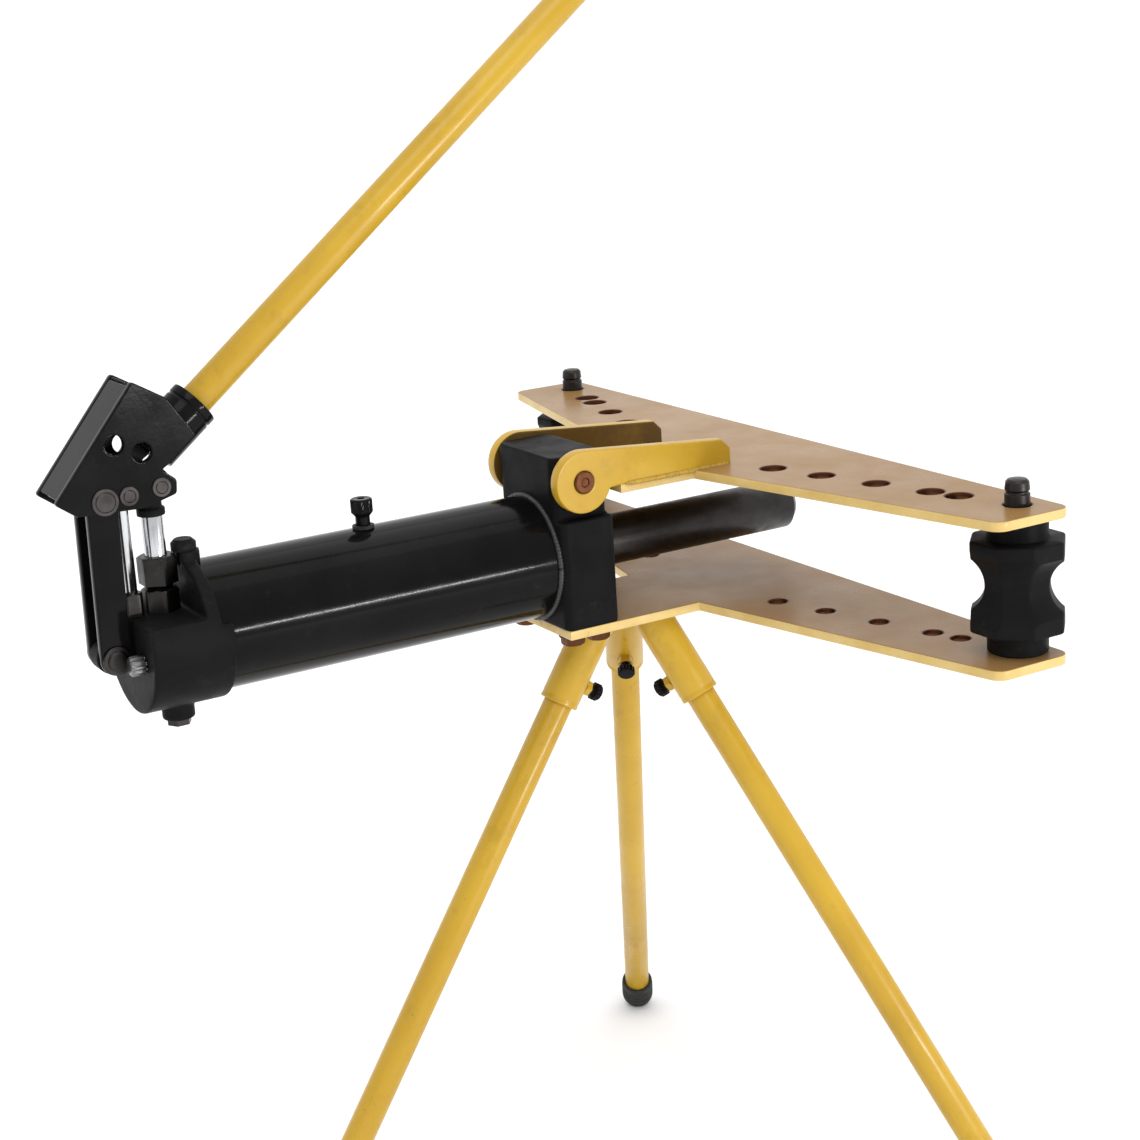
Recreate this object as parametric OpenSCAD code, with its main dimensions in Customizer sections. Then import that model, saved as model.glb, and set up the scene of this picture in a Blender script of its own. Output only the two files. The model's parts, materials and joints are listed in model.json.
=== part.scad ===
// Hydraulic pipe bender with a flip-up upper wing plate, on a three-legged stand.
// Millimetres. +X is the way the ram pushes, +Z is up, and the floor is z = 0.
// Every module draws about the ram's axis and on_axis() puts it in its place.

/* [Wing plates] */
// Half of the span across the wing tips
wing_half = 370; // [360:1:400]
// Free height between the two wing plates
plate_gap = 110; // [110:1:114]
// Thickness of each wing plate
plate_t = 8; // [7:0.5:10]
// Front edge of the plates, ahead of the ram's datum
wing_front = 262; // [258:1:270]
// Length of the short edge at each wing tip
tip_len = 76; // [70:1:84]
// Where the swept rear edge meets the tongue
notch_x = 122; // [118:1:130]
// Half width of the tongue that the head block stands on
tongue_half = 58; // [56:1:60]
// Corner radius at the wing tips
tip_round = 12; // [6:1:16]

/* [Rollers] */
// Sideways distance from the ram's axis to each roller's axis
roller_y = 336; // [330:1:340]
// Across-flats size of the eight-sided roller
roller_af = 72; // [66:1:76]
// Height of the eight-sided part of the roller
roller_h = 74; // [70:1:80]
// Radius of the roller's end collars
collar_r = 24; // [20:0.5:28]
// Radius of the spindle in the roller
spindle_r = 10; // [9:0.5:11]
// Radius of the spindle's reduced foot
spindle_foot_r = 8; // [7:0.5:8.5]

/* [Head block and cylinder] */
// Length of the head block along the ram
head_len = 52; // [50:1:54]
// Half width of the head block below its ledges
head_half = 58; // [56:1:60]
// Half width of the head block between the hinge arms
head_neck_half = 46.5; // [44:0.5:47]
// Top of the head block above the ram's axis
head_top = 92; // [90:1:93]
// Outer radius of the large tube
tube_r = 53; // [50:1:54]
// Length of the large tube
tube_len = 302; // [290:1:310]
// Outer radius of the cylinder barrel inside the tube
barrel_r = 41; // [39:1:44]
// Radius of the ram
ram_r = 22; // [20:0.5:24]
// How far the ram's nose stands ahead of the datum
ram_nose_x = 260; // [240:1:262]

/* [Pump and lever] */
// Radius of the main plunger
plunger_r = 8.5; // [8:0.5:9]
// Radius of the small plunger
small_plunger_r = 6; // [5:0.5:6]
// Angle of the handle above the horizontal
handle_angle = 38.5; // [36:0.5:41]
// Outer radius of the handle tube
handle_r = 13; // [12:0.5:13]
// Length of the handle tube
handle_len = 800; // [700:5:820]

/* [Stand] */
// Height of the ram's axis above the floor
axis_height = 650; // [620:5:700]
// Lean of each leg from the vertical
leg_splay = 33; // [30:0.5:35]
// Outer radius of a leg tube
leg_r = 13; // [12:0.5:13.5]
// Length of a leg socket
socket_len = 88; // [80:1:95]

/* [Hidden] */
$fn = 72;
eps = 0.01;             // overshoot of a cut
run = 0.05;             // radial running clearance of a shaft in its bore
gap = 0.3;              // clearance between faces that pass each other

// Plates
half_gap = plate_gap / 2;
tip_rear = wing_front - tip_len;
upper_tongue_x = 49;    // rear edge of the upper plate, just clear of the head block
lower_tongue_x = -8;
hole_first_y = 102;
hole_ys = [hole_first_y, 152, 206, 258, 284, roller_y];
hole_first_x = 174;
hole_sweep = 15;        // the row of holes sweeps forward by this angle
upper_hole_r = 11;
lower_hole_r = spindle_foot_r + run;
function hole_x(y) = hole_first_x + (y - hole_first_y) * tan(hole_sweep);
roller_x = hole_x(roller_y);

// Rollers: radius and depth of the grooves, each one on two opposite sides
groove_rs = [44.5, 38, 30.2, 24.2];
groove_depth = 11;
spindle_above = 11;     // plain length of a spindle above the upper plate
spindle_below = 7;      // how far a spindle's foot reaches below the lower plate
spindle_tip = 10;       // length of the tapered tip
spindle_taper = 2;      // how much the tip narrows

// Head block
head_rear = -10;
head_front = head_rear + head_len;
ledge_z = 38;
edge_round = 7;
ram_bore_r = ram_r + 1;
gland_r = 32;
gland_depth = 34;
gland_x = head_rear + 4;
wiper_r = 28;
wiper_t = 8;

// Hinge of the upper plate
hinge_x = 13;
hinge_z = 71;
eye_r = 26.5;
hinge_pin_r = 9.5;
hinge_pin_in = 26;
hinge_pin_out = 1.5;    // how far the pins stand out of the arms
arm_in = 48.5;
arm_t = 11;
arm_front_x = 160;
arm_front_z = 85;
arm_chamfer = 8;
arm_toe = 20;           // angle below the hinge's level at which the arm leaves the eye

// Plate bolts
bolt_r = 6;
bolt_af = 18;
bolt_head = 9;
bolt_x = [4, 29];
bolt_y = 40;
bolt_grip = 20;

// Cylinder
tube_t = 5;
tube_rear = head_rear - tube_len;
barrel_t = 6;
bore_r = barrel_r - barrel_t;
piston_len = 32;
piston_front = -52;
piston_seal_w = 8;
piston_seal_depth = 6;
piston_seal_x = piston_front - piston_len + 12;
piston_nut_af = 36;
piston_nut_t = 14;
ram_chamfer = 7;
nose_bore_r = 10;
nose_bore_depth = 30;

// Pump body
pump_r = 58;
pump_front = tube_rear;
pump_lip = 9;           // the lip reaches round the tube's rear end
pump_lip_top = 14;
flange_t = 11;
pump_rear = tube_rear - 58;
flat_z = 20;
plunger_x = -340;
small_x = -364;
apron_half = 10;        // the flat's rear extension, between the link plates
apron_out = 6;
main_barrel_r = 11;
main_bore_bottom = -42;
main_foot_t = 12;       // room for oil under the main barrel
main_hex_af = 26;
main_hex_t = 18;
gland_hex_af = 27;
gland_hex_z = 42;
gland_hex_t = 22;
packing_z = 56;
packing_t = 5;
small_barrel_r = 8;
small_bore_bottom = -20;
small_foot_t = 10;
small_hex_af = 17;
small_hex_t = 18;
duct_r = 3;
duct_above = 5;         // height of a duct above the bottom of its bore
main_duct_len = 40;
small_duct_len = 60;
ball_r = 4.5;
ball_seat_x = plunger_x + 16;
ball_seat_len = 30;
spring_wire = 0.8;
spring_r = ball_r - 1.5;
spring_pitch = 1.2;
duct_zs = [main_bore_bottom + duct_above, small_bore_bottom + duct_above];
drain_x = -336;
drain_r = 13;
drain_z = -70;
drain_boss = 20;
drain_plug_r = 8;
drain_plug_len = 12;
drain_hex_t = 5;
cap_x = -317;
cap_r = 10;
cap_t = 9;
cap_chamfer = 3;
cap_z = 73;
cap_seat = cap_z - cap_t;
cap_stem = 10;
cap_stem_r = cap_r - cap_chamfer;

// Link between the pump body and the lever
pivot = [-386, -8];
link_w = 24;
link_in = 10.5;
link_t = 7.5;
link_pin_r = 8;
link_pin_half = 22;
link_end_steps = 24;
lug_half = 10;
lug_r = 13;

// Lever, drawn about its fulcrum
fulcrum = [-383, 118];
cheek_in = 19.5;
cheek_t = 6;
fulcrum_pin_r = 8;
plunger_arm = [45, 4];
small_arm = [19, 1.5];
plunger_pin_r = 5;
head_eye_r = 13;
head_hole_r = 8.5;
head_eye_half = 10;
cheek_hole_r = 7.5;
cheek_holes = [[12, 42], [33, 33]];
cheek_outline = [[-22, -8], [31, -10], [57, -3], [58, 8], [47, 17], [54, 21], [77, 40],
    [57, 71], [31, 87], [-38, 4]];
web_t = 6;
web_inset = 4;          // the web stops short of both ends of the cheeks' rear edge
web_back = 0.5;         // and stands this far inside that edge
lever_pin_out = 2;      // how far the cross pins stand out of the cheeks
socket_mouth = [88, 60];
handle_socket_len = 50;
handle_socket_r = 20;
handle_wall = 2.5;
handle_start = 6;

// Plungers
plunger_bottom = -8;
neck_t = 6;             // the eye's neck reaches this far down over the plunger
plunger_top = 102;
button_top = 114;
button_r = 8;
button_t = 7;

// Screws
release_at = [-34, -10];
release_r = 4;
release_knob_r = 8;
release_knob_t = 12;
release_depth = 24;
filler_x = -163;
filler_r = 6;
filler_head_r = 9;
filler_stem = 14;
filler_head_t = 11;
filler_neck = 3;
filler_seal_t = 2.4;

// Stand
stand_x = 80;
stand_r = 24;
socket_wall = 4;
leg_wall = 2.5;
leg_top = 12;           // gap along the leg between the plate and the leg's top
foot_r = 17;
foot_flat = 2;          // how much of the foot's ball is pressed flat
foot_sleeve = 26;
under_z = -half_gap - plate_t;
foot_drop = axis_height - foot_r + foot_flat + under_z;
leg_reach = foot_drop / cos(leg_splay);
thumb_along = 66;
thumb_r = 4;
thumb_stem = 10;
thumb_knob_r = 8;
thumb_knob_t = 7;

// The whole machine reaches from the lever's heel to the end of the handle, and the origin
// is midway between the two
handle_plug_t = 3;
handle_plug_in = 20;
handle_reach = handle_start - handle_socket_len + handle_len + handle_plug_t;
rear_end = fulcrum[0] + cheek_outline[len(cheek_outline) - 1][0];
front_end = fulcrum[0] + socket_mouth[0] + handle_reach * cos(handle_angle) + handle_r * sin(handle_angle);
centre_x = -(rear_end + front_end) / 2;

black = [0.07, 0.07, 0.08];
gold = [0.93, 0.70, 0.13];
tan_plate = [0.80, 0.68, 0.52];
bright = [0.82, 0.83, 0.85];
dull_steel = [0.35, 0.34, 0.34];
bronze = [0.70, 0.50, 0.28];
rubber = [0.05, 0.05, 0.05];

module on_axis() {
    translate([centre_x, 0, axis_height]) children();
}

// A cylinder along +X that starts at x
module rod_x(x, len, r) {
    translate([x, 0, 0]) rotate([0, 90, 0]) cylinder(h = len, r = r);
}

// A cylinder along Y between two values of y
module rod_y(x, z, y0, y1, r) {
    translate([x, y0, z]) rotate([-90, 0, 0]) cylinder(h = y1 - y0, r = r);
}

module hex(af, h) {
    cylinder(h = h, r = af / 2 / cos(30), $fn = 6);
}

// An outline in the XZ plane, drawn between two values of y
module slab_xz(points, y0, y1) {
    translate([0, y1, 0]) rotate([90, 0, 0]) linear_extrude(y1 - y0) polygon(points);
}

function arc(c, r, a0, a1, n = 6) =
    [for (i = [0:n]) [c[0] + r * cos(a0 + (a1 - a0) * i / n), c[1] + r * sin(a0 + (a1 - a0) * i / n)]];

// The outline of a wing plate's left half, from the front tip to the tongue's rear corner
function wing_half_outline(rear) = concat(
    arc([wing_front - tip_round, wing_half - tip_round], tip_round, 0, 90),
    arc([tip_rear + tip_round, wing_half - tip_round], tip_round, 90, 180 - wing_sweep()),
    [[notch_x, tongue_half], [rear, tongue_half]]);
function wing_outline(half) = concat(half, [for (i = [len(half) - 1:-1:0]) [half[i][0], -half[i][1]]]);
function wing_sweep() = atan((tip_rear - notch_x) / (wing_half - tongue_half));

module wing(rear, hole_r, z) {
    translate([0, 0, z]) difference() {
        linear_extrude(plate_t) polygon(wing_outline(wing_half_outline(rear)));
        for (y = hole_ys, s = [-1, 1])
            translate([hole_x(y), s * y, -eps]) cylinder(h = plate_t + 2 * eps, r = hole_r);
    }
}

// Upper wing plate: the hinge arms are welded on its tongue, and it flips up about their pins
module upper_wing_plate() {
    color(tan_plate) on_axis() wing(upper_tongue_x, upper_hole_r, half_gap);
}

// Lower wing plate: carries the head block, the spindles and the leg sockets
module lower_wing_plate() {
    color(tan_plate) on_axis() difference() {
        wing(lower_tongue_x, lower_hole_r, under_z);
        for (x = bolt_x, s = [-1, 1])
            translate([x, s * bolt_y, under_z - eps]) cylinder(h = plate_t + 2 * eps, r = bolt_r);
    }
}

// Head block: rounded upright edges, a ledge on each side for the hinge eyes, and the ram's bore
module head_profile(half, z0, z1) {
    long = head_len - 2 * edge_round;
    translate([head_rear, -half + edge_round, z0]) cube([head_len, 2 * (half - edge_round), z1 - z0]);
    translate([head_rear + edge_round, -half, z0]) cube([long, 2 * half, z1 - z0]);
    for (x = [head_rear + edge_round, head_front - edge_round], s = [-1, 1])
        translate([x, s * (half - edge_round), z0]) cylinder(h = z1 - z0, r = edge_round);
}

module head_block() {
    color(black) on_axis() difference() {
        union() {
            head_profile(head_half, -half_gap, ledge_z);
            head_profile(head_neck_half, ledge_z - eps, head_top);
        }
        rod_x(head_rear - eps, head_len + 2 * eps, ram_bore_r);
        rod_x(gland_x, gland_depth, gland_r);
        rod_x(head_front - wiper_t, wiper_t + eps, wiper_r);
        for (s = [-1, 1])
            rod_y(hinge_x, hinge_z, s < 0 ? -head_half : hinge_pin_in, s < 0 ? -hinge_pin_in : head_half,
                hinge_pin_r);
        for (x = bolt_x, s = [-1, 1])
            translate([x, s * bolt_y, -half_gap - eps]) cylinder(h = bolt_grip + 1, r = bolt_r);
    }
}

// Bush that guides the ram, in the head block
module gland_bush() {
    color(bronze) on_axis() difference() {
        rod_x(gland_x, gland_depth, gland_r);
        rod_x(head_rear, head_len, ram_r + run);
    }
}

// Wiper ring at the head block's front face
module ram_wiper() {
    color(rubber) on_axis() difference() {
        rod_x(head_front - wiper_t, wiper_t, wiper_r);
        rod_x(head_front - wiper_t - eps, wiper_t + 2 * eps, ram_r + run);
    }
}

module plate_bolts() {
    color(dull_steel) on_axis() for (x = bolt_x, s = [-1, 1])
        translate([x, s * bolt_y, under_z]) {
            translate([0, 0, -bolt_head]) hex(bolt_af, bolt_head);
            cylinder(h = plate_t + bolt_grip, r = bolt_r);
        }
}

// Two pins on one axis, one in each side of the head block
module hinge_pins() {
    color(dull_steel) on_axis() for (s = [0, 1]) mirror([0, s, 0])
        rod_y(hinge_x, hinge_z, hinge_pin_in, arm_in + arm_t + hinge_pin_out, hinge_pin_r);
}

// An arm that is welded along the upper plate's tongue, with the hinge eye at its rear end
module hinge_arm(s) {
    rise = arm_front_z - hinge_z;
    foot_z = half_gap + plate_t;
    lean = atan2(rise - eye_r, arm_front_x - hinge_x);
    top = [hinge_x - eye_r * sin(lean), hinge_z + eye_r * cos(lean)];
    color(gold) on_axis() mirror([0, s < 0 ? 1 : 0, 0]) difference() {
        union() {
            rod_y(hinge_x, hinge_z, arm_in, arm_in + arm_t, eye_r);
            slab_xz([[upper_tongue_x, foot_z], [arm_front_x, foot_z],
                [arm_front_x, arm_front_z - arm_chamfer], [arm_front_x - arm_chamfer, arm_front_z],
                top, [hinge_x, hinge_z],
                [hinge_x + eye_r * cos(arm_toe), hinge_z - eye_r * sin(arm_toe)]],
                arm_in, arm_in + arm_t);
        }
        rod_y(hinge_x, hinge_z, arm_in - eps, arm_in + arm_t + eps, hinge_pin_r + run);
    }
}
module hinge_arm_left() hinge_arm(1);
module hinge_arm_right() hinge_arm(-1);

// Outer tube: the oil reservoir around the cylinder barrel
module reservoir_tube() {
    color(black) on_axis() difference() {
        rod_x(tube_rear, tube_len, tube_r);
        rod_x(tube_rear - eps, tube_len + 2 * eps, tube_r - tube_t);
        translate([filler_x, 0, 0]) cylinder(h = tube_r + 1, r = filler_r + run);
    }
}

module cylinder_barrel() {
    color(dull_steel) on_axis() difference() {
        rod_x(tube_rear, tube_len, barrel_r);
        rod_x(tube_rear - eps, tube_len + 2 * eps, bore_r);
    }
}

// The ram and what is fixed to its rear end
module ram_rod() {
    rear = piston_front - piston_len - piston_nut_t;
    color(black) on_axis() {
        difference() {
            union() {
                rod_x(piston_front, ram_nose_x - ram_chamfer - piston_front, ram_r);
                translate([ram_nose_x - ram_chamfer, 0, 0]) rotate([0, 90, 0])
                    cylinder(h = ram_chamfer, r1 = ram_r, r2 = ram_r - ram_chamfer);
            }
            rod_x(ram_nose_x - nose_bore_depth, nose_bore_depth + 1, nose_bore_r);
        }
        rod_x(rear, piston_front - rear, ram_r / 2);
    }
}

module ram_piston() {
    rear = piston_front - piston_len;
    color(dull_steel) on_axis() difference() {
        rod_x(rear, piston_len, bore_r - run);
        rod_x(rear - eps, piston_len + 2 * eps, ram_r / 2);
        difference() {
            rod_x(piston_seal_x, piston_seal_w, bore_r + 1);
            rod_x(piston_seal_x - eps, piston_seal_w + 2 * eps, bore_r - piston_seal_depth);
        }
    }
}

module piston_seal() {
    color(rubber) on_axis() difference() {
        rod_x(piston_seal_x, piston_seal_w, bore_r - run);
        rod_x(piston_seal_x - eps, piston_seal_w + 2 * eps, bore_r - piston_seal_depth);
    }
}

module piston_nut() {
    color(dull_steel) on_axis() translate([piston_front - piston_len - piston_nut_t, 0, 0])
        rotate([0, 90, 0]) difference() {
            hex(piston_nut_af, piston_nut_t);
            translate([0, 0, -eps]) cylinder(h = piston_nut_t + 2 * eps, r = ram_r / 2);
        }
}

// Pump body casting: a round base that closes the tube, a flat for the plungers, and a rear lug
module pump_body() {
    far = 2 * pump_r;       // longer than any part of the casting
    color(black) on_axis() difference() {
        union() {
            rod_x(pump_rear, pump_front - pump_rear, pump_r);
            intersection() {
                rod_x(pump_front - eps, pump_lip, pump_r);
                translate([pump_front - 1, -pump_r, -pump_r])
                    cube([pump_lip + 2, far, pump_r + pump_lip_top]);
            }
            translate([pump_rear - apron_out, -apron_half, 0])
                cube([apron_out + pump_lip, 2 * apron_half, flat_z]);
            translate([pivot[0], -lug_half, pivot[1] - lug_r])
                cube([pump_rear - pivot[0] + 1, 2 * lug_half, 2 * lug_r]);
            rod_y(pivot[0], pivot[1], -lug_half, lug_half, lug_r);
            translate([drain_x, 0, drain_z]) cylinder(h = drain_boss, r = drain_r);
            translate([cap_x, 0, 0]) cylinder(h = cap_seat, r = cap_r + 2);
        }
        translate([pump_rear - far, -pump_r, flat_z])
            cube([pump_front - flange_t - pump_rear + far, far, far]);
        rod_x(pump_front, far, tube_r);
        translate([plunger_x, 0, main_bore_bottom]) cylinder(h = far, r = main_barrel_r);
        translate([small_x, 0, small_bore_bottom]) cylinder(h = far, r = small_barrel_r);
        translate([0, 0, duct_zs[0]]) rod_x(plunger_x, main_duct_len, duct_r);
        translate([0, 0, duct_zs[1]]) rod_x(small_x, small_duct_len, duct_r);
        for (z = duct_zs) translate([0, 0, z]) rod_x(ball_seat_x, ball_seat_len, ball_r + gap);
        rod_y(pivot[0], pivot[1], -lug_half - eps, lug_half + eps, link_pin_r);
        translate([0, release_at[0], release_at[1]])
            rod_x(pump_rear - eps, release_depth + 2, release_r + run);
        translate([drain_x, 0, drain_z - eps]) cylinder(h = drain_plug_len + 2, r = drain_plug_r);
        translate([cap_x, 0, cap_seat - cap_stem - 1]) cylinder(h = far, r = cap_stem_r);
    }
}

module valve_cap() {
    color(black) on_axis() translate([cap_x, 0, cap_seat]) {
        translate([0, 0, -cap_stem]) cylinder(h = cap_stem, r = cap_stem_r);
        cylinder(h = cap_t - cap_chamfer, r = cap_r);
        translate([0, 0, cap_t - cap_chamfer]) cylinder(h = cap_chamfer, r1 = cap_r, r2 = cap_stem_r);
    }
}

module drain_plug() {
    color(dull_steel) on_axis() translate([drain_x, 0, drain_z]) {
        translate([0, 0, -drain_hex_t]) hex(2 * drain_plug_r + 1, drain_hex_t);
        cylinder(h = drain_plug_len, r = drain_plug_r);
    }
}

// Sleeve that the main plunger works in, with its own hex
module main_pump_barrel() {
    foot = main_bore_bottom + main_foot_t;
    color(dull_steel) on_axis() translate([plunger_x, 0, 0]) difference() {
        union() {
            translate([0, 0, foot]) cylinder(h = packing_z - foot, r = main_barrel_r);
            translate([0, 0, flat_z]) hex(main_hex_af, main_hex_t);
        }
        translate([0, 0, foot - 1]) cylinder(h = packing_z - foot + 2, r = plunger_r + run);
    }
}

module main_gland_nut() {
    color(dull_steel) on_axis() translate([plunger_x, 0, gland_hex_z]) difference() {
        hex(gland_hex_af, gland_hex_t);
        translate([0, 0, -eps]) cylinder(h = packing_z + packing_t - gland_hex_z, r = main_barrel_r);
        cylinder(h = gland_hex_t + 1, r = plunger_r + run);
    }
}

module main_packing() {
    color(rubber) on_axis() translate([plunger_x, 0, packing_z]) difference() {
        cylinder(h = packing_t - eps, r = main_barrel_r);
        translate([0, 0, -eps]) cylinder(h = packing_t + 2 * eps, r = plunger_r + run);
    }
}

module small_gland_nut() {
    foot = small_bore_bottom + small_foot_t;
    color(dull_steel) on_axis() translate([small_x, 0, 0]) difference() {
        union() {
            translate([0, 0, foot]) cylinder(h = flat_z - foot, r = small_barrel_r);
            translate([0, 0, flat_z]) rotate([0, 0, 30]) hex(small_hex_af, small_hex_t);
        }
        translate([0, 0, foot - 1])
            cylinder(h = flat_z + small_hex_t - foot + 2, r = small_plunger_r + run);
    }
}

module check_balls() {
    color(bright) on_axis() for (z = duct_zs)
        translate([ball_seat_x + ball_r, 0, z]) sphere(r = ball_r);
}

// One flat-wound spring behind each ball, drawn as its two rings
module check_springs() {
    color(dull_steel) on_axis() for (z = duct_zs, k = [0:1])
        translate([ball_seat_x + 2 * ball_r + spring_wire + k * spring_pitch, 0, z]) rotate([0, 90, 0])
            rotate_extrude($fn = 32) translate([spring_r, 0]) circle(r = spring_wire / 2, $fn = 16);
}

// Pin through the lug: the link plates turn on it
module link_pin() {
    color(dull_steel) on_axis() rod_y(pivot[0], pivot[1], -link_pin_half, link_pin_half, link_pin_r);
}

// Two plates with round ends that carry the lever's fulcrum
module link_plates() {
    lean = atan2(fulcrum[0] - pivot[0], fulcrum[1] - pivot[1]);
    outline = concat(arc(fulcrum, link_w / 2, -lean, 180 - lean, link_end_steps),
        arc(pivot, link_w / 2, 180 - lean, 360 - lean, link_end_steps));
    color(black) on_axis() for (y = [-link_in - link_t, link_in]) difference() {
        slab_xz(outline, y, y + link_t);
        rod_y(pivot[0], pivot[1], -link_pin_half, link_pin_half, link_pin_r + run);
        rod_y(fulcrum[0], fulcrum[1], -link_pin_half, link_pin_half, fulcrum_pin_r + run);
    }
}

module about_fulcrum() {
    on_axis() translate([fulcrum[0], 0, fulcrum[1]]) children();
}

// Along the handle's own axis, from the mouth of its socket
module along_handle() {
    about_fulcrum() translate([socket_mouth[0], 0, socket_mouth[1]])
        rotate([0, 90 - handle_angle, 0]) children();
}

// Two cheeks joined by a web along their rear edge
module lever_bracket() {
    last = len(cheek_outline) - 1;
    foot = cheek_outline[last];
    head = cheek_outline[last - 1];
    slope = atan2(head[1] - foot[1], head[0] - foot[0]);
    side = cheek_in + cheek_t + 1;
    color(black) difference() {
        about_fulcrum() {
            for (y = [-cheek_in - cheek_t, cheek_in]) slab_xz(cheek_outline, y, y + cheek_t);
            translate([foot[0], -cheek_in - 1, foot[1]]) rotate([0, -slope, 0])
                translate([web_inset, 0, -web_t - web_back])
                    cube([norm(head - foot) - 2 * web_inset, 2 * cheek_in + 2, web_t]);
        }
        about_fulcrum() {
            for (h = cheek_holes) rod_y(h[0], h[1], -side, side, cheek_hole_r);
            rod_y(0, 0, -side, side, fulcrum_pin_r);
            for (p = [plunger_arm, small_arm]) rod_y(p[0], p[1], -side, side, plunger_pin_r);
        }
        along_handle() translate([0, 0, -handle_socket_len])
            cylinder(h = handle_socket_len, r = handle_socket_r);
    }
}

module handle_socket() {
    color(black) along_handle() translate([0, 0, -handle_socket_len]) difference() {
        cylinder(h = handle_socket_len, r = handle_socket_r);
        translate([0, 0, handle_start]) cylinder(h = handle_socket_len, r = handle_r + run);
    }
}

module fulcrum_pin() {
    color(dull_steel) about_fulcrum()
        rod_y(0, 0, -cheek_in - cheek_t - lever_pin_out, cheek_in + cheek_t + lever_pin_out, fulcrum_pin_r);
}

// The cross pins that push the two plungers
module plunger_pins() {
    side = cheek_in + cheek_t + lever_pin_out;
    color(dull_steel) about_fulcrum() for (p = [plunger_arm, small_arm])
        rod_y(p[0], p[1], -side, side, plunger_pin_r);
}

module handle_tube() {
    color(gold) along_handle() translate([0, 0, handle_start - handle_socket_len]) difference() {
        cylinder(h = handle_len, r = handle_r);
        translate([0, 0, -eps]) cylinder(h = handle_len + 2 * eps, r = handle_r - handle_wall);
    }
}

module handle_plug() {
    color(rubber) along_handle() translate([0, 0, handle_reach - handle_plug_t]) {
        cylinder(h = handle_plug_t, r = handle_r);
        translate([0, 0, -handle_plug_in]) cylinder(h = handle_plug_in, r = handle_r - handle_wall);
    }
}

// Main plunger and the eye that the lever's pin works in
module main_plunger() {
    color(bright) on_axis() translate([plunger_x, 0, plunger_bottom])
        cylinder(h = plunger_top - plunger_bottom, r = plunger_r);
}

module main_plunger_head() {
    pin_at = fulcrum + plunger_arm;
    color(black) on_axis() difference() {
        union() {
            rod_y(pin_at[0], pin_at[1], -head_eye_half, head_eye_half, head_eye_r);
            translate([plunger_x, 0, plunger_top]) cylinder(h = pin_at[1] - plunger_top, r = head_eye_half - 1);
            translate([plunger_x, 0, plunger_top - neck_t]) difference() {
                cylinder(h = neck_t + eps, r = head_eye_half + 1);
                translate([0, 0, -eps]) cylinder(h = neck_t + 2 * eps, r = plunger_r);
            }
        }
        rod_y(pin_at[0], pin_at[1], -head_eye_half - eps, head_eye_half + eps, head_hole_r);
    }
}

// Small plunger with the button that its cross pin presses on
module small_plunger() {
    color(bright) on_axis() translate([small_x, 0, 0]) {
        translate([0, 0, plunger_bottom])
            cylinder(h = button_top - plunger_bottom - button_t, r = small_plunger_r);
        translate([0, 0, button_top - button_t]) cylinder(h = button_t, r = button_r);
    }
}

// Release screw: opening it lets the ram go back
module release_screw() {
    color(bright) on_axis() translate([0, release_at[0], release_at[1]]) {
        rod_x(pump_rear - gap, release_depth, release_r);
        rod_x(pump_rear - gap - release_knob_t, release_knob_t, release_knob_r);
    }
}

module filler_screw() {
    color(black) on_axis() translate([filler_x, 0, tube_r]) {
        translate([0, 0, -tube_t]) cylinder(h = tube_t + filler_stem, r = filler_r);
        translate([0, 0, filler_stem - filler_neck])
            cylinder(h = filler_neck, r1 = filler_r, r2 = filler_head_r);
        translate([0, 0, filler_stem]) cylinder(h = filler_head_t, r = filler_head_r);
    }
}

module filler_seal() {
    color(rubber) on_axis() translate([filler_x, 0, tube_r + gap]) difference() {
        cylinder(h = filler_seal_t, r = filler_head_r);
        translate([0, 0, -eps]) cylinder(h = filler_seal_t + 2 * eps, r = filler_r);
    }
}

// Rollers: eight sides with grooves for four sizes of tube, two sides for each
module roller(s) {
    on_axis() translate([roller_x, s * roller_y, 0]) difference() {
        union() {
            translate([0, 0, -roller_h / 2]) rotate([0, 0, 22.5])
                cylinder(h = roller_h, r = roller_af / 2 / cos(22.5), $fn = 8);
            translate([0, 0, -half_gap + gap]) cylinder(h = plate_gap - 2 * gap, r = collar_r);
        }
        for (k = [0:7]) rotate([0, 0, 45 * k])
            translate([roller_af / 2 - groove_depth + groove_rs[k % 4], 0, 0]) rotate([90, 0, 0])
                translate([0, 0, -roller_af / 2]) cylinder(h = roller_af, r = groove_rs[k % 4]);
        translate([0, 0, -half_gap]) cylinder(h = plate_gap, r = spindle_r + run);
    }
}
module roller_left() color(black) roller(1);
module roller_right() color(black) roller(-1);

// Spindles: a shoulder stands on the lower plate and the foot goes through it
module spindle(s) {
    rise = half_gap + plate_t + spindle_above;
    foot_len = plate_t + spindle_below;
    on_axis() translate([roller_x, s * roller_y, 0]) {
        translate([0, 0, -half_gap]) cylinder(h = half_gap + rise, r = spindle_r);
        translate([0, 0, rise]) cylinder(h = spindle_tip, r1 = spindle_r, r2 = spindle_r - spindle_taper);
        translate([0, 0, -half_gap - foot_len]) cylinder(h = foot_len + eps, r = spindle_foot_r);
    }
}
module spindle_left() color(dull_steel) spindle(1);
module spindle_right() color(dull_steel) spindle(-1);

// Along a leg: -Z runs down the leg from the underside of the lower plate
module along_leg(turn) {
    on_axis() translate([stand_x, 0, under_z]) rotate([0, 0, turn]) translate([stand_r, 0, 0])
        rotate([0, -leg_splay, 0]) children();
}

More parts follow.
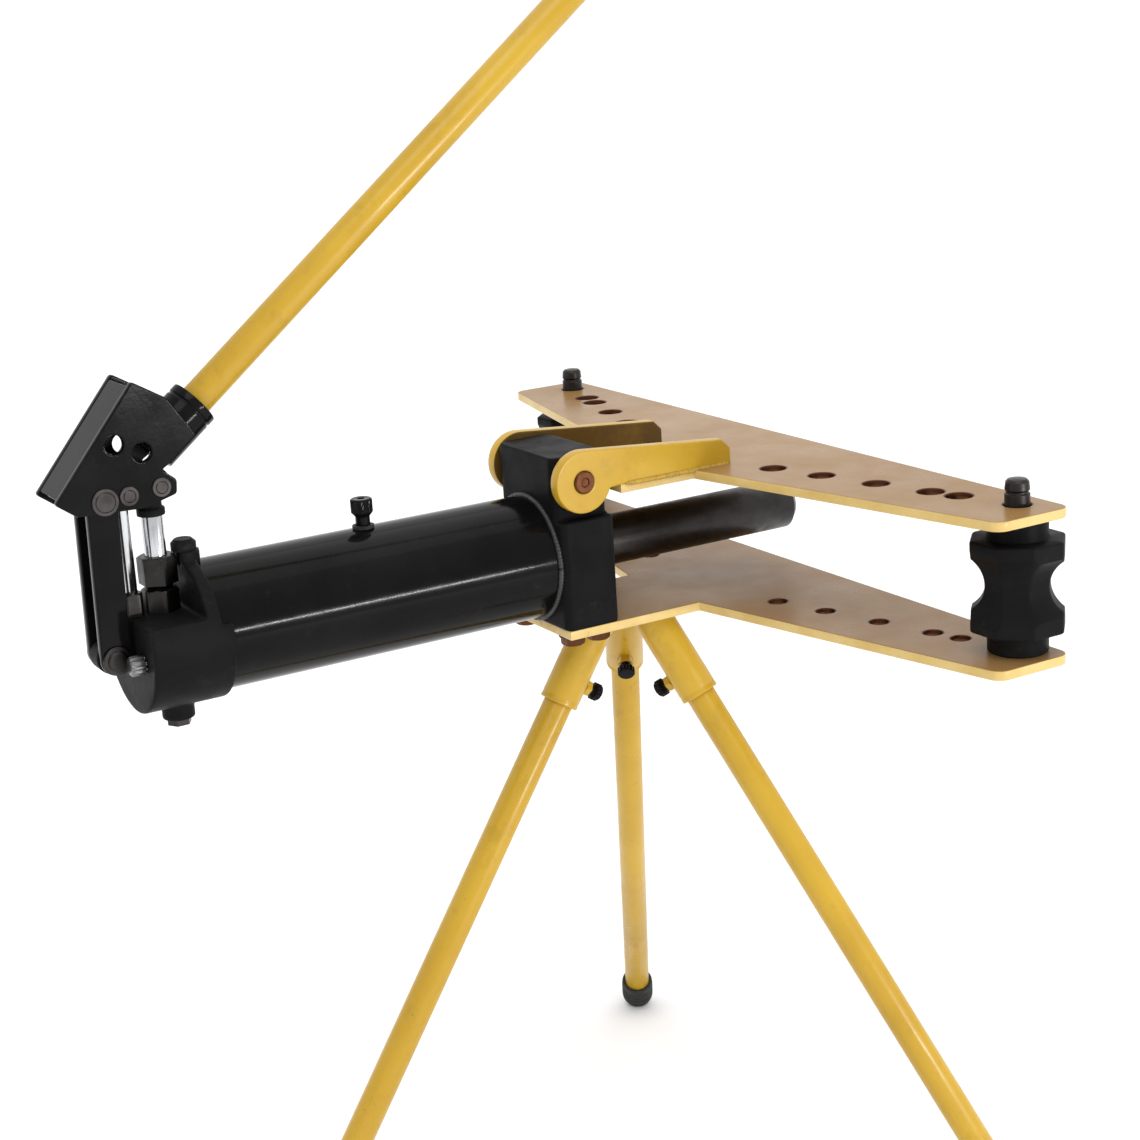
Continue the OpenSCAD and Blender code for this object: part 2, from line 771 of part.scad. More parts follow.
module leg_socket(turn) {
    outer_r = leg_r + run + socket_wall;
    color(gold) difference() {
        along_leg(turn) translate([0, 0, -socket_len]) cylinder(h = socket_len + 2 * outer_r, r = outer_r);
        along_leg(turn) translate([0, 0, -socket_len - 1])
            cylinder(h = socket_len + 4 * outer_r, r = leg_r + run);
        along_leg(turn) translate([0, 0, -thumb_along]) rotate([0, -90, 0])
            cylinder(h = 2 * outer_r, r = thumb_r + run);
        on_axis() translate([stand_x - socket_len, -socket_len, under_z])
            cube([2 * socket_len, 2 * socket_len, socket_len]);
    }
}
module socket_rear() leg_socket(180);
module socket_left() leg_socket(60);
module socket_right() leg_socket(-60);

module leg(turn) {
    color(gold) along_leg(turn) translate([0, 0, -leg_reach]) difference() {
        cylinder(h = leg_reach - leg_top, r = leg_r);
        translate([0, 0, -1]) cylinder(h = leg_reach, r = leg_r - leg_wall);
    }
}
module leg_rear() leg(180);
module leg_left() leg(60);
module leg_right() leg(-60);

// Rubber foot: a sleeve with a ball end that is flat where it stands on the floor
module foot(turn) {
    color(rubber) difference() {
        along_leg(turn) translate([0, 0, -leg_reach]) {
            sphere(r = foot_r);
            cylinder(h = foot_sleeve, r = foot_r);
        }
        along_leg(turn) translate([0, 0, -leg_reach]) cylinder(h = foot_sleeve + 1, r = leg_r);
        translate([-axis_height, -axis_height, -foot_r]) cube([2 * axis_height, 2 * axis_height, foot_r]);
    }
}
module foot_rear() foot(180);
module foot_left() foot(60);
module foot_right() foot(-60);

// Thumb screw on the inner side of each socket
module thumb_screw(turn) {
    tip = leg_r + gap;
    stem = socket_wall + thumb_stem;
    color(black) along_leg(turn) translate([0, 0, -thumb_along]) rotate([0, -90, 0])
        translate([0, 0, tip]) {
            cylinder(h = stem, r = thumb_r);
            translate([0, 0, stem]) cylinder(h = thumb_knob_t, r = thumb_knob_r);
        }
}
module thumb_screw_rear() thumb_screw(180);
module thumb_screw_left() thumb_screw(60);
module thumb_screw_right() thumb_screw(-60);

head_block();
gland_bush();
ram_wiper();
reservoir_tube();
cylinder_barrel();
pump_body();
valve_cap();
main_pump_barrel();
main_gland_nut();
main_packing();
small_gland_nut();
check_balls();
check_springs();
drain_plug();
link_pin();
lower_wing_plate();
plate_bolts();
hinge_pins();
socket_rear();
socket_left();
socket_right();
ram_rod();
ram_piston();
piston_seal();
piston_nut();
upper_wing_plate();
hinge_arm_left();
hinge_arm_right();
roller_left();
roller_right();
spindle_left();
spindle_right();
link_plates();
lever_bracket();
handle_socket();
fulcrum_pin();
plunger_pins();
handle_tube();
handle_plug();
main_plunger();
main_plunger_head();
small_plunger();
release_screw();
filler_screw();
filler_seal();
leg_rear();
leg_left();
leg_right();
foot_rear();
foot_left();
foot_right();
thumb_screw_rear();
thumb_screw_left();
thumb_screw_right();
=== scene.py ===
# Hydraulic pipe bender on a tripod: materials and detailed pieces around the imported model.
# Points and meshes are in metres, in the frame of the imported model. The named sizes of the pieces are in
# millimetres.
import json
import math
import bmesh
import bpy
from mathutils import Matrix, Vector, noise
from mathutils.geometry import tessellate_polygon


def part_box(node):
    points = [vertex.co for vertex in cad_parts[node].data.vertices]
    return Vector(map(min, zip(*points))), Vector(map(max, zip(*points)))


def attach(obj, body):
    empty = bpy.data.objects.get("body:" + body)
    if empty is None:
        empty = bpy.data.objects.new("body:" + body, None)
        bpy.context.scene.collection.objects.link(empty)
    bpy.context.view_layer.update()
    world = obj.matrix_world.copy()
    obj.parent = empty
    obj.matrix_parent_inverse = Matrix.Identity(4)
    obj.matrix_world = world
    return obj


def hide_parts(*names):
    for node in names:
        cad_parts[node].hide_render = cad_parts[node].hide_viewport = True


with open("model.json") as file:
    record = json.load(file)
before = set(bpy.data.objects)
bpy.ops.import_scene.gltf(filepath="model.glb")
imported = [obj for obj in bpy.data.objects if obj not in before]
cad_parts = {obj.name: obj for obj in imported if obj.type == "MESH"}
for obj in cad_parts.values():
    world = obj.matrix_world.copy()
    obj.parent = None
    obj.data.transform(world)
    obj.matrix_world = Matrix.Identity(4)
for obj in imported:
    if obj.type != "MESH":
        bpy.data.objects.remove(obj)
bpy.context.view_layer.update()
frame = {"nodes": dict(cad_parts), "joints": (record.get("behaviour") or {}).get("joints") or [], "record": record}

MM = 0.001
NODES = frame["nodes"]
JOINTS = {j["name"]: j for j in frame["joints"]}
MOUNTS = {m["name"]: m for m in frame["record"]["mounts"]}
SIDES = {"left": 1, "right": -1}
LEGS = {"rear": 180, "left": 60, "right": -60}


# ---------------------------------------------------------------- places taken from the frame

def centre(node):
    low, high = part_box(node)
    return (low + high) / 2


RAM_Z = MOUNTS["ram_nose_bore"]["pos_m"][2]
HINGE = Vector(JOINTS["upper_wing_flip"]["pos_m"])
HINGE_X, HINGE_Z = 13, 71                    # the hinge's place over the datum, in millimetres
DATUM_X = HINGE.x - HINGE_X * MM             # the head block's datum on the ram's axis
FULCRUM = Vector(JOINTS["lever_swing"]["pos_m"])
HANDLE_AXIS = Vector(JOINTS["handle_pull"]["axis"]).normalized()


def at(x, y, z):
    """A point given in millimetres from the ram's axis at the datum."""
    return Vector((DATUM_X + x * MM, y * MM, RAM_Z + z * MM))


# ---------------------------------------------------------------- camera, light and floor

LENS, SENSOR = 68.7, 36
EYE = at(-872.6, -1574.6, 486.6)
YAW, PITCH, ROLL = math.radians(60.23), math.radians(15.6), math.radians(-3.55)
ROOM, BACKDROP = 0.80, 1.08                  # the world's strength behind the camera and ahead of it
FADE_FROM, FADE_TO, FADE_RISE = -0.45, 0.5, 0.35      # where it changes, and how it leans upwards
SUNS = (("key", (0.35, 0.75, -1.25), 0.75, 35),      # name, direction, strength, angle in degrees
        ("top", (-0.25, -0.2, -1.0), 0.45, 60))
STRIP_AT, STRIP_TO = at(740, -2300, -130), at(-200, 0, 0)
STRIP_SIZE, STRIP_POWER = (0.7, 0.015), 17


def make_camera():
    """The camera of the photograph's view."""
    level_part = math.cos(PITCH)
    forward = Vector((math.cos(YAW) * level_part, math.sin(YAW) * level_part, -math.sin(PITCH)))
    level = Vector((math.sin(YAW), -math.cos(YAW), 0))
    up = level.cross(forward)
    right = math.cos(ROLL) * level + math.sin(ROLL) * up
    top = math.cos(ROLL) * up - math.sin(ROLL) * level
    data = bpy.data.cameras.new("camera")
    data.lens, data.sensor_width = LENS, SENSOR
    camera = bpy.data.objects.new("camera", data)
    turn = Matrix((right, top, -forward)).transposed().to_4x4()
    camera.matrix_world = Matrix.Translation(EYE) @ turn
    bpy.context.scene.collection.objects.link(camera)
    bpy.context.scene.camera = camera


def strip_light():
    """The narrow light that draws the long highlight on the outer tube."""
    data = bpy.data.lights.new("strip", "AREA")
    data.shape, data.energy = "RECTANGLE", STRIP_POWER
    data.size, data.size_y = STRIP_SIZE
    light = bpy.data.objects.new("strip", data)
    light.location = STRIP_AT
    light.rotation_euler = (STRIP_TO - STRIP_AT).to_track_quat("-Z", "Y").to_euler()
    bpy.context.scene.collection.objects.link(light)


def make_world():
    """White backdrop ahead of the camera, and a darker room behind it for the paint to reflect."""
    world = bpy.data.worlds.new("studio")
    world.use_nodes = True
    tree = world.node_tree
    direction = tree.nodes.new("ShaderNodeTexCoord")
    ahead = tree.nodes.new("ShaderNodeVectorMath")
    ahead.operation = "DOT_PRODUCT"
    ahead.inputs[1].default_value = (math.cos(YAW), math.sin(YAW), FADE_RISE)
    ramp = tree.nodes.new("ShaderNodeMapRange")
    ramp.interpolation_type = "SMOOTHSTEP"
    ends = (("From Min", FADE_FROM), ("From Max", FADE_TO), ("To Min", ROOM), ("To Max", BACKDROP))
    for key, number in ends:
        ramp.inputs[key].default_value = number
    background = tree.nodes["Background"]
    tree.links.new(direction.outputs["Generated"], ahead.inputs[0])
    tree.links.new(ahead.outputs["Value"], ramp.inputs["Value"])
    tree.links.new(ramp.outputs["Result"], background.inputs["Strength"])
    background.inputs["Color"].default_value = (1, 1, 1, 1)
    bpy.context.scene.world = world


def sun(name, direction, strength, softness):
    data = bpy.data.lights.new(name, "SUN")
    data.energy, data.angle = strength, math.radians(softness)
    light = bpy.data.objects.new(name, data)
    light.rotation_euler = Vector(direction).to_track_quat("-Z", "Y").to_euler()
    bpy.context.scene.collection.objects.link(light)


def make_studio():
    """World, suns, strip light and the pale floor."""
    make_world()
    for values in SUNS:
        sun(*values)
    strip_light()
    bpy.ops.mesh.primitive_plane_add(size=60)
    floor = bpy.context.object
    floor.name = "studio_floor"
    pale = bpy.data.materials.new("pale_floor")
    pale.use_nodes = True
    shader = pale.node_tree.nodes["Principled BSDF"]
    shader.inputs["Base Color"].default_value = (0.93, 0.93, 0.93, 1)
    shader.inputs["Roughness"].default_value = 0.9
    shader.inputs["Specular IOR Level"].default_value = 0.1
    floor.data.materials.append(pale)
    bpy.context.scene.view_settings.view_transform = "Standard"


# ---------------------------------------------------------------- materials

class Nodes:
    """Short names for the nodes of one material."""

    def __init__(self, name):
        self.material = bpy.data.materials.new(name)
        self.material.use_nodes = True
        self.tree = self.material.node_tree
        self.shader = self.tree.nodes["Principled BSDF"]
        self.place = self.add("ShaderNodeTexCoord").outputs["Object"]

    def add(self, kind, **values):
        node = self.tree.nodes.new(kind)
        for key, value in values.items():
            setattr(node, key, value)
        return node

    def feed(self, socket, value):
        """Links another node's output to the socket, or sets it to a plain value."""
        if isinstance(value, bpy.types.NodeSocket):
            self.tree.links.new(value, socket)
        else:
            socket.default_value = value

    def noise(self, scale, detail=4, rough=0.55, stretch=None):
        """Noise of so many waves a metre. stretch multiplies that along each axis."""
        node = self.add("ShaderNodeTexNoise")
        node.inputs["Scale"].default_value = scale
        node.inputs["Detail"].default_value = detail
        node.inputs["Roughness"].default_value = rough
        place = self.place
        if stretch:
            mapping = self.add("ShaderNodeMapping")
            mapping.inputs["Scale"].default_value = stretch
            self.feed(mapping.inputs["Vector"], place)
            place = mapping.outputs["Vector"]
        self.feed(node.inputs["Vector"], place)
        return node.outputs["Fac"]

    def spread(self, value, low, high, to_low=0.0, to_high=1.0):
        """The value's range low to high, stretched to the range to_low to to_high."""
        node = self.add("ShaderNodeMapRange")
        ends = (("From Min", low), ("From Max", high), ("To Min", to_low), ("To Max", to_high))
        for key, number in ends:
            node.inputs[key].default_value = number
        self.feed(node.inputs["Value"], value)
        return node.outputs["Result"]

    def maths(self, operation, a, b):
        node = self.add("ShaderNodeMath", operation=operation)
        self.feed(node.inputs[0], a)
        self.feed(node.inputs[1], b)
        return node.outputs[0]

    def mix(self, factor, a, b):
        node = self.add("ShaderNodeMix", data_type="RGBA")
        self.feed(node.inputs["Factor"], factor)
        self.feed(node.inputs[6], (*a, 1) if isinstance(a, tuple) else a)
        self.feed(node.inputs[7], (*b, 1) if isinstance(b, tuple) else b)
        return node.outputs[2]

    def bump(self, height, distance, strength=1.0, under=None):
        """A normal from a height that spans the distance in metres, over another bump."""
        node = self.add("ShaderNodeBump")
        node.inputs["Distance"].default_value = distance
        node.inputs["Strength"].default_value = strength
        self.feed(node.inputs["Height"], height)
        if under:
            self.feed(node.inputs["Normal"], under)
        return node.outputs["Normal"]

    def edges(self, low, high, patch_scale, patch_low, patch_high):
        """1 on convex edges, broken up by noise, and 0 elsewhere."""
        sharp = self.spread(self.add("ShaderNodeNewGeometry").outputs["Pointiness"], low, high)
        patches = self.spread(self.noise(patch_scale, 6, 0.7), patch_low, patch_high)
        return self.maths("MULTIPLY", sharp, patches)

    def shade(self, colour, roughness, normal=None, metallic=0.0, **others):
        """Sets the shader, others being its own sockets, and returns the material."""
        self.feed(self.shader.inputs["Base Color"], colour)
        self.feed(self.shader.inputs["Roughness"], roughness)
        self.feed(self.shader.inputs["Metallic"], metallic)
        if normal:
            self.feed(self.shader.inputs["Normal"], normal)
        for key, value in others.items():
            self.shader.inputs[key.replace("_", " ")].default_value = value
        return self.material


CHIPS = (0.55, 0.62, 190, 0.55, 0.63)        # the arguments of Nodes.edges for chipped enamel


def enamel_tone(n, colour, shadow):
    """Sprayed enamel's uneven colour, with darker dust in spots."""
    tone = n.mix(n.spread(n.noise(7, 5), 0.35, 0.7), colour, shadow)
    dust = tuple(c * 0.6 for c in shadow)
    return n.mix(n.spread(n.noise(38, 8, 0.7), 0.55, 0.80, 0, 0.45), tone, dust)


def enamel_coat(n, tone):
    """Uneven gloss, orange peel and fine scratches over the colour."""
    gloss = n.spread(n.noise(30, 6, 0.6), 0.3, 0.75, 0.24, 0.44)
    peel = n.bump(n.noise(420, 2), 0.00012, 0.35)
    scratches = n.bump(n.noise(70, 8, 0.75, (1, 14, 1)), 0.00008, 0.25, peel)
    return n.shade(tone, gloss, scratches, Specular_IOR_Level=0.35, Coat_Weight=0.08, Coat_Roughness=0.12)


def enamel(name, colour, shadow, worn, chipped):
    """Yellow enamel with worn specks, and with chips along sharp edges if it is chipped."""
    n = Nodes(name)
    tone = enamel_tone(n, colour, shadow)
    specks = n.spread(n.noise(240, 4, 0.6), 0.70, 0.74)
    patches = n.spread(n.noise(13, 3), 0.52, 0.62)
    tone = n.mix(n.maths("MULTIPLY", specks, patches), tone, worn)
    if chipped:
        tone = n.mix(n.edges(*CHIPS), tone, worn)
    return enamel_coat(n, tone)


def arm_enamel(colour, shadow, worn, painted_shade_brown):
    """The hinge arms: enamel with painted brown shade on the faces turned towards the head block."""
    n = Nodes("arm_enamel")
    normal, place = n.add("ShaderNodeSeparateXYZ"), n.add("ShaderNodeSeparateXYZ")
    n.feed(normal.inputs[0], n.tree.nodes["Texture Coordinate"].outputs["Normal"])
    n.feed(place.inputs[0], n.place)
    # Painted shade: faces turned inward, towards the other arm, are mixed towards a dark brown, broken up by
    # noise.
    side = n.maths("SIGN", place.outputs["Y"], 0.0)
    inward = n.spread(n.maths("MULTIPLY", normal.outputs["Y"], side), -0.5, -0.8)
    painted_shade = n.maths("MULTIPLY", inward, n.spread(n.noise(18, 6, 0.65), 0.25, 0.5, 0.65, 0.95))
    tone = n.mix(painted_shade, enamel_tone(n, colour, shadow), painted_shade_brown)
    return enamel_coat(n, n.mix(n.edges(*CHIPS), tone, worn))


def plate_enamel():
    """The wing plates: glossy tan enamel with scuffed faces, and a painted highlight that makes the upright cut
    edges paler and yellower.
    """
    n = Nodes("plate_enamel")
    split = n.add("ShaderNodeSeparateXYZ")
    n.feed(split.inputs[0], n.tree.nodes["Texture Coordinate"].outputs["Normal"])
    # Painted highlight: faces that stand upright, the plates' cut edges, are mixed towards a paler colour.
    upright = n.maths("ABSOLUTE", split.outputs["Z"], 0.0)
    edge = n.spread(upright, 0.75, 0.35)
    face = n.mix(n.spread(n.noise(4, 4), 0.35, 0.68), (0.28, 0.152, 0.048), (0.34, 0.198, 0.078))
    face = n.mix(n.spread(n.noise(24, 8, 0.7), 0.55, 0.80, 0, 0.35), face, (0.19, 0.105, 0.045))
    face = n.mix(n.spread(n.noise(90, 6, 0.7, (1, 6, 1)), 0.62, 0.74, 0, 0.3), face, (0.42, 0.29, 0.17))
    # The cut edges' colour: a painted highlight, paler and yellower than the faces.
    cut = n.mix(n.spread(n.noise(30, 6), 0.4, 0.7), (0.68, 0.50, 0.20), (0.60, 0.41, 0.13))
    tone = n.mix(edge, face, cut)
    tone = n.mix(n.edges(0.56, 0.64, 190, 0.58, 0.66), tone, (0.22, 0.16, 0.11))
    gloss = n.spread(n.noise(22, 6, 0.65), 0.3, 0.75, 0.24, 0.42)
    normal = n.bump(n.noise(260, 3), 0.00015, 0.3)
    normal = n.bump(n.noise(40, 8, 0.75, (2, 16, 2)), 0.0001, 0.3, normal)
    return n.shade(tone, gloss, normal, Specular_IOR_Level=0.22, Coat_Weight=0.02, Coat_Roughness=0.2)


def casting():
    """Black paint over sand-cast iron."""
    n = Nodes("black_cast_iron")
    tone = n.mix(n.spread(n.noise(14, 6), 0.35, 0.7), (0.006, 0.006, 0.0064), (0.012, 0.0116, 0.012))
    tone = n.mix(n.spread(n.noise(48, 8, 0.7), 0.58, 0.8, 0, 0.4), tone, (0.035, 0.030, 0.026))
    tone = n.mix(n.edges(0.54, 0.62, 120, 0.52, 0.64), tone, (0.075, 0.072, 0.07))
    gloss = n.spread(n.noise(35, 6, 0.6), 0.3, 0.75, 0.34, 0.54)
    sand = n.bump(n.noise(620, 4, 0.7), 0.00035, 0.5)
    normal = n.bump(n.noise(60, 3), 0.0008, 0.35, sand)
    return n.shade(tone, gloss, normal, Specular_IOR_Level=0.035)


def black_gloss(name, chipped):
    """Glossy black paint on the tube, the lever, the link and the small screws."""
    n = Nodes(name)
    tone = n.mix(n.spread(n.noise(11, 5), 0.4, 0.7), (0.003, 0.003, 0.0033), (0.007, 0.0068, 0.007))
    tone = n.mix(n.spread(n.noise(60, 8, 0.72), 0.60, 0.82, 0, 0.35), tone, (0.04, 0.034, 0.028))
    if chipped:
        tone = n.mix(n.edges(0.55, 0.63, 150, 0.56, 0.64), tone, (0.12, 0.115, 0.11))
    gloss = n.spread(n.noise(24, 7, 0.65), 0.3, 0.75, 0.09, 0.18)
    normal = n.bump(n.noise(330, 2), 0.0001, 0.25)
    return n.shade(tone, gloss, normal, Specular_IOR_Level=0.085, Coat_Weight=0.015, Coat_Roughness=0.06)


def bare_metal(name, colour, dark, rough, spin=(1, 1, 1), grain=0.3):
    """Machined steel, chrome or bronze: tool marks along one direction, and stains."""
    n = Nodes(name)
    stain = n.spread(n.noise(45, 7, 0.7), 0.5, 0.78, 0, 0.7)
    tone = n.mix(stain, colour, dark)
    gloss = n.spread(n.noise(80, 6, 0.6), 0.3, 0.75, rough * 0.75, rough * 1.4)
    marks = n.bump(n.noise(500, 3, 0.6, spin), 0.00006, grain)
    return n.shade(tone, gloss, marks, metallic=1.0)


def rubber():
    """Matt black rubber with pale dust."""
    n = Nodes("black_rubber")
    tone = n.mix(n.spread(n.noise(60, 6, 0.7), 0.5, 0.75), (0.010, 0.0095, 0.0095), (0.03, 0.028, 0.026))
    gloss = n.spread(n.noise(90, 5), 0.3, 0.7, 0.58, 0.85)
    return n.shade(tone, gloss, n.bump(n.noise(700, 3), 0.0002, 0.5))


def weld_metal(name, colour, dark):
    """Painted weld: the paint lies thinner on the ripples."""
    n = Nodes(name)
    tone = n.mix(n.edges(0.50, 0.58, 260, 0.40, 0.60), colour, dark)
    gloss = n.spread(n.noise(120, 5), 0.3, 0.7, 0.28, 0.55)
    return n.shade(tone, gloss, n.bump(n.noise(900, 3), 0.0002, 0.4))


GOLD, GOLD_SHADE, PRIMER = (0.56, 0.345, 0.024), (0.45, 0.26, 0.015), (0.13, 0.10, 0.075)
YELLOW = enamel("yellow_enamel", GOLD, GOLD_SHADE, PRIMER, True)
TUBE_YELLOW = enamel("yellow_tube_enamel", GOLD, GOLD_SHADE, PRIMER, False)
# The last colour is the brown of the painted shade on the arms' inner faces.
ARM = arm_enamel(GOLD, GOLD_SHADE, PRIMER, (0.10, 0.052, 0.012))
PLATE = plate_enamel()
CAST = casting()
GLOSS = black_gloss("black_gloss_paint", True)
TUBE_GLOSS = black_gloss("black_tube_paint", False)
CHROME = bare_metal("chromed_rod", (0.62, 0.63, 0.65), (0.34, 0.32, 0.30), 0.12, (1, 1, 30))
DARK_STEEL = bare_metal("blackened_steel", (0.040, 0.037, 0.036), (0.015, 0.013, 0.012), 0.36,
                        (1, 1, 12), 0.5)
PIN_STEEL = bare_metal("browned_pin_steel", (0.115, 0.045, 0.022), (0.04, 0.02, 0.012), 0.38,
                       (12, 1, 12), 0.5)
GROUND = bare_metal("ground_steel", (0.20, 0.20, 0.205), (0.10, 0.09, 0.08), 0.3, (18, 1, 1), 0.5)
BRONZE = bare_metal("bronze_bush", (0.50, 0.31, 0.13), (0.25, 0.15, 0.07), 0.3, (18, 1, 1))
RUBBER = rubber()
YELLOW_WELD = weld_metal("yellow_weld", (0.50, 0.30, 0.022), (0.26, 0.16, 0.03))
BLACK_WELD = weld_metal("black_weld", (0.010, 0.010, 0.011), (0.035, 0.032, 0.03))
TAN_WELD = weld_metal("tan_weld", (0.42, 0.27, 0.07), (0.22, 0.13, 0.05))

BY_SLOT = {"black_paint": TUBE_GLOSS, "black_casting": CAST, "yellow_paint": TUBE_YELLOW,
           "plate_paint": PLATE, "chrome": CHROME, "blackened_steel": DARK_STEEL, "pin_steel": PIN_STEEL,
           "ground_steel": GROUND, "bronze": BRONZE, "rubber": RUBBER}
BEVELLED = {"ram_rod", "handle_tube", "handle_plug", "valve_cap", "leg_rear", "leg_left", "leg_right",
            "main_plunger", "small_plunger"}
BEVEL, BEVEL_ANGLE, MERGE = 0.6 * MM, math.radians(50), 2e-6


def paint_cad():
    """Finishes for the carried-over CAD nodes, and small bevels on the ones that show."""
    for part in frame["record"]["subparts"]:
        node = NODES[part["node"]]
        finish = BY_SLOT[part["material_slot"]]
        if not node.material_slots:
            node.data.materials.append(finish)
        for slot in node.material_slots:
            slot.material = finish
        if part["node"] in BEVELLED:
            node.modifiers.new("weld", "WELD").merge_threshold = MERGE
            bevel = node.modifiers.new("bevel", "BEVEL")
            bevel.width, bevel.segments, bevel.harden_normals = BEVEL, 2, True
            bevel.limit_method, bevel.angle_limit = "ANGLE", BEVEL_ANGLE


# ---------------------------------------------------------------- mesh helpers

FLAT_FACES = 25                              # degrees beyond which an edge of a hexagon stays sharp
BEAD_SIDES, RIPPLE, KEPT_FACES = 10, 0.0032, 0.45


def mm(points):
    """Pairs of millimetres in metres."""
    return [(a * MM, b * MM) for a, b in points]


def piece(name, mesh, finish, body, nodes=(), sharp=32, second=None):
    """Links a finished mesh as a piece on a body, in place of some CAD nodes.

    Edges above sharp degrees stay sharp, and second is the material of holes' walls."""
    mesh.name = name
    mesh.materials.append(finish)
    mesh.materials.append(second or finish)
    mesh.shade_smooth()
    mesh.set_sharp_from_angle(angle=math.radians(sharp))
    thing = bpy.data.objects.new(name, mesh)
    bpy.context.scene.collection.objects.link(thing)
    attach(thing, body)
    if nodes:
        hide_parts(*nodes)
    return thing


def mesh_of(build):
    """A mesh from a bmesh, with its doubles merged and its normals outward."""
    bmesh.ops.remove_doubles(build, verts=build.verts, dist=1e-7)
    bmesh.ops.recalc_face_normals(build, faces=build.faces)
    mesh = bpy.data.meshes.new("mesh")
    build.to_mesh(mesh)
    build.free()
    return mesh


def frame_along(origin, axis, hint=(0, 0, 1)):
    """A matrix whose Z is the axis and whose origin is given."""
    z = Vector(axis).normalized()
    x = Vector(hint) - Vector(hint).dot(z) * z
    if x.length < 1e-4:
        x = Vector((1, 0, 0)) - Vector((1, 0, 0)).dot(z) * z
    x.normalize()
    turn = Matrix((x, z.cross(x), z)).transposed().to_4x4()
    return Matrix.Translation(origin) @ turn


def rounded(points, radius, steps=3, closed=False):
    """The outline with each corner rounded to at most the radius."""
    count, out = len(points), []
    for i, here in enumerate(points):
        here = Vector(here)
        if not closed and i in (0, count - 1):
            out.append(here)
            continue
        before, after = Vector(points[i - 1]), Vector(points[(i + 1) % count])
        reach = min(radius, (before - here).length * 0.45, (after - here).length * 0.45)
        start = here + (before - here).normalized() * reach
        end = here + (after - here).normalized() * reach
        for k in range(steps + 1):
            t = k / steps
            out.append((1 - t) ** 2 * start + 2 * t * (1 - t) * here + t * t * end)
    return out


def lathe(build, profile, place, sides, shape=None):
    """Turns (radius, height) points in metres about Z.

    shape(angle, radius, height) may change the radius."""
    rings = []
    for radius, height in profile:
        ring = []
        if radius < 1e-7:
            ring = [build.verts.new(place @ Vector((0, 0, height)))] * sides
        else:
            for k in range(sides):
                angle = 2 * math.pi * k / sides
                r = shape(angle, radius, height) if shape else radius
                point = Vector((r * math.cos(angle), r * math.sin(angle), height))
                ring.append(build.verts.new(place @ point))
        rings.append(ring)
    for low, high in zip(rings, rings[1:]):
        for k in range(sides):
            corners = [low[k], low[(k + 1) % sides], high[(k + 1) % sides], high[k]]
            face = [v for i, v in enumerate(corners) if v not in corners[:i]]
            if len(face) > 2:
                build.faces.new(face)


def turned(profile, place, radius, sides, shape=None, steps=3):
    """A lathed mesh from a profile in metres, whose corners are rounded to the radius."""
    build = bmesh.new()
    lathe(build, rounded(profile, radius, steps), place, sides, shape)
    return mesh_of(build)


def inset(loop, distance):
    """A closed outline moved towards the material, which lies on its left."""
    out, count = [], len(loop)
    for i, here in enumerate(loop):
        a = (here - loop[i - 1]).normalized()
        b = (loop[(i + 1) % count] - here).normalized()
        na, nb = Vector((-a.y, a.x)), Vector((-b.y, b.x))
        out.append(here + (na + nb) * (distance / max(1 + na.dot(nb), 0.3)))
    return out


def circle(x, y, radius, sides=48):
    """A hole's outline, which runs clockwise so that the material is on its left."""
    angles = [-2 * math.pi * k / sides for k in range(sides)]
    return [Vector((x + radius * math.cos(a), y + radius * math.sin(a))) for a in angles]


def slab(loops, thickness, edge, place, build=None):
    """A flat plate with rounded edges: the first loop is its outline, the others are its holes.

    The walls of the holes get the mesh's second material, if it has one."""
    own = build is None
    build = build or bmesh.new()
    steps = [(edge * 1.6, 0.0), (edge, 0.0), (edge * 0.3, edge * 0.3), (0.0, edge)]
    rows = steps + [(d, thickness - h) for d, h in reversed(steps)]
    for loop in loops:
        rings = [[build.verts.new(place @ Vector((p.x, p.y, h))) for p in inset(loop, d)] for d, h in rows]
        for low, high in zip(rings, rings[1:]):
            for k in range(len(loop)):
                j = (k + 1) % len(loop)
                wall = build.faces.new([low[k], low[j], high[j], high[k]])
                wall.material_index = 0 if loop is loops[0] else 1
    for h in (0.0, thickness):
        flat = [[Vector((p.x, p.y, 0)) for p in inset(loop, edge * 1.6)] for loop in loops]
        verts = [build.verts.new(place @ Vector((p.x, p.y, h))) for loop in flat for p in loop]
        for triangle in tessellate_polygon(flat):
            build.faces.new([verts[i] for i in triangle])
    return mesh_of(build) if own else None


def flat_xz(y):
    """Local X and Y become the frame's X and Z, and the slab grows along +Y from y."""
    return Matrix(((1, 0, 0, 0), (0, 0, 1, y), (0, 1, 0, 0), (0, 0, 0, 1)))


def hexagon(build, across, height, place, bore=0.0, chamfer=0.0012):
    """A nut or bolt head: six sides whose corners are turned down at the top."""
    corner = across / math.sqrt(3)

    def six_sided(angle, radius, _):
        flat = across / 2 / math.cos((angle + math.pi / 6) % (math.pi / 3) - math.pi / 6)
        return min(flat, radius) if radius > across * 0.45 else radius

    rows = [(corner, 0), (corner, height - chamfer * 1.3),
            (across / 2 + chamfer * 0.6, height - chamfer * 0.45), (across / 2 - chamfer * 0.4, height)]
    if bore:
        rows += [(bore + 0.0004, height), (bore, height - 0.0004), (bore, 0.0), (corner, 0)]
    else:
        rows = [(0, 0)] + rows + [(0, height)]
    lathe(build, rows, place, 72, six_sided)


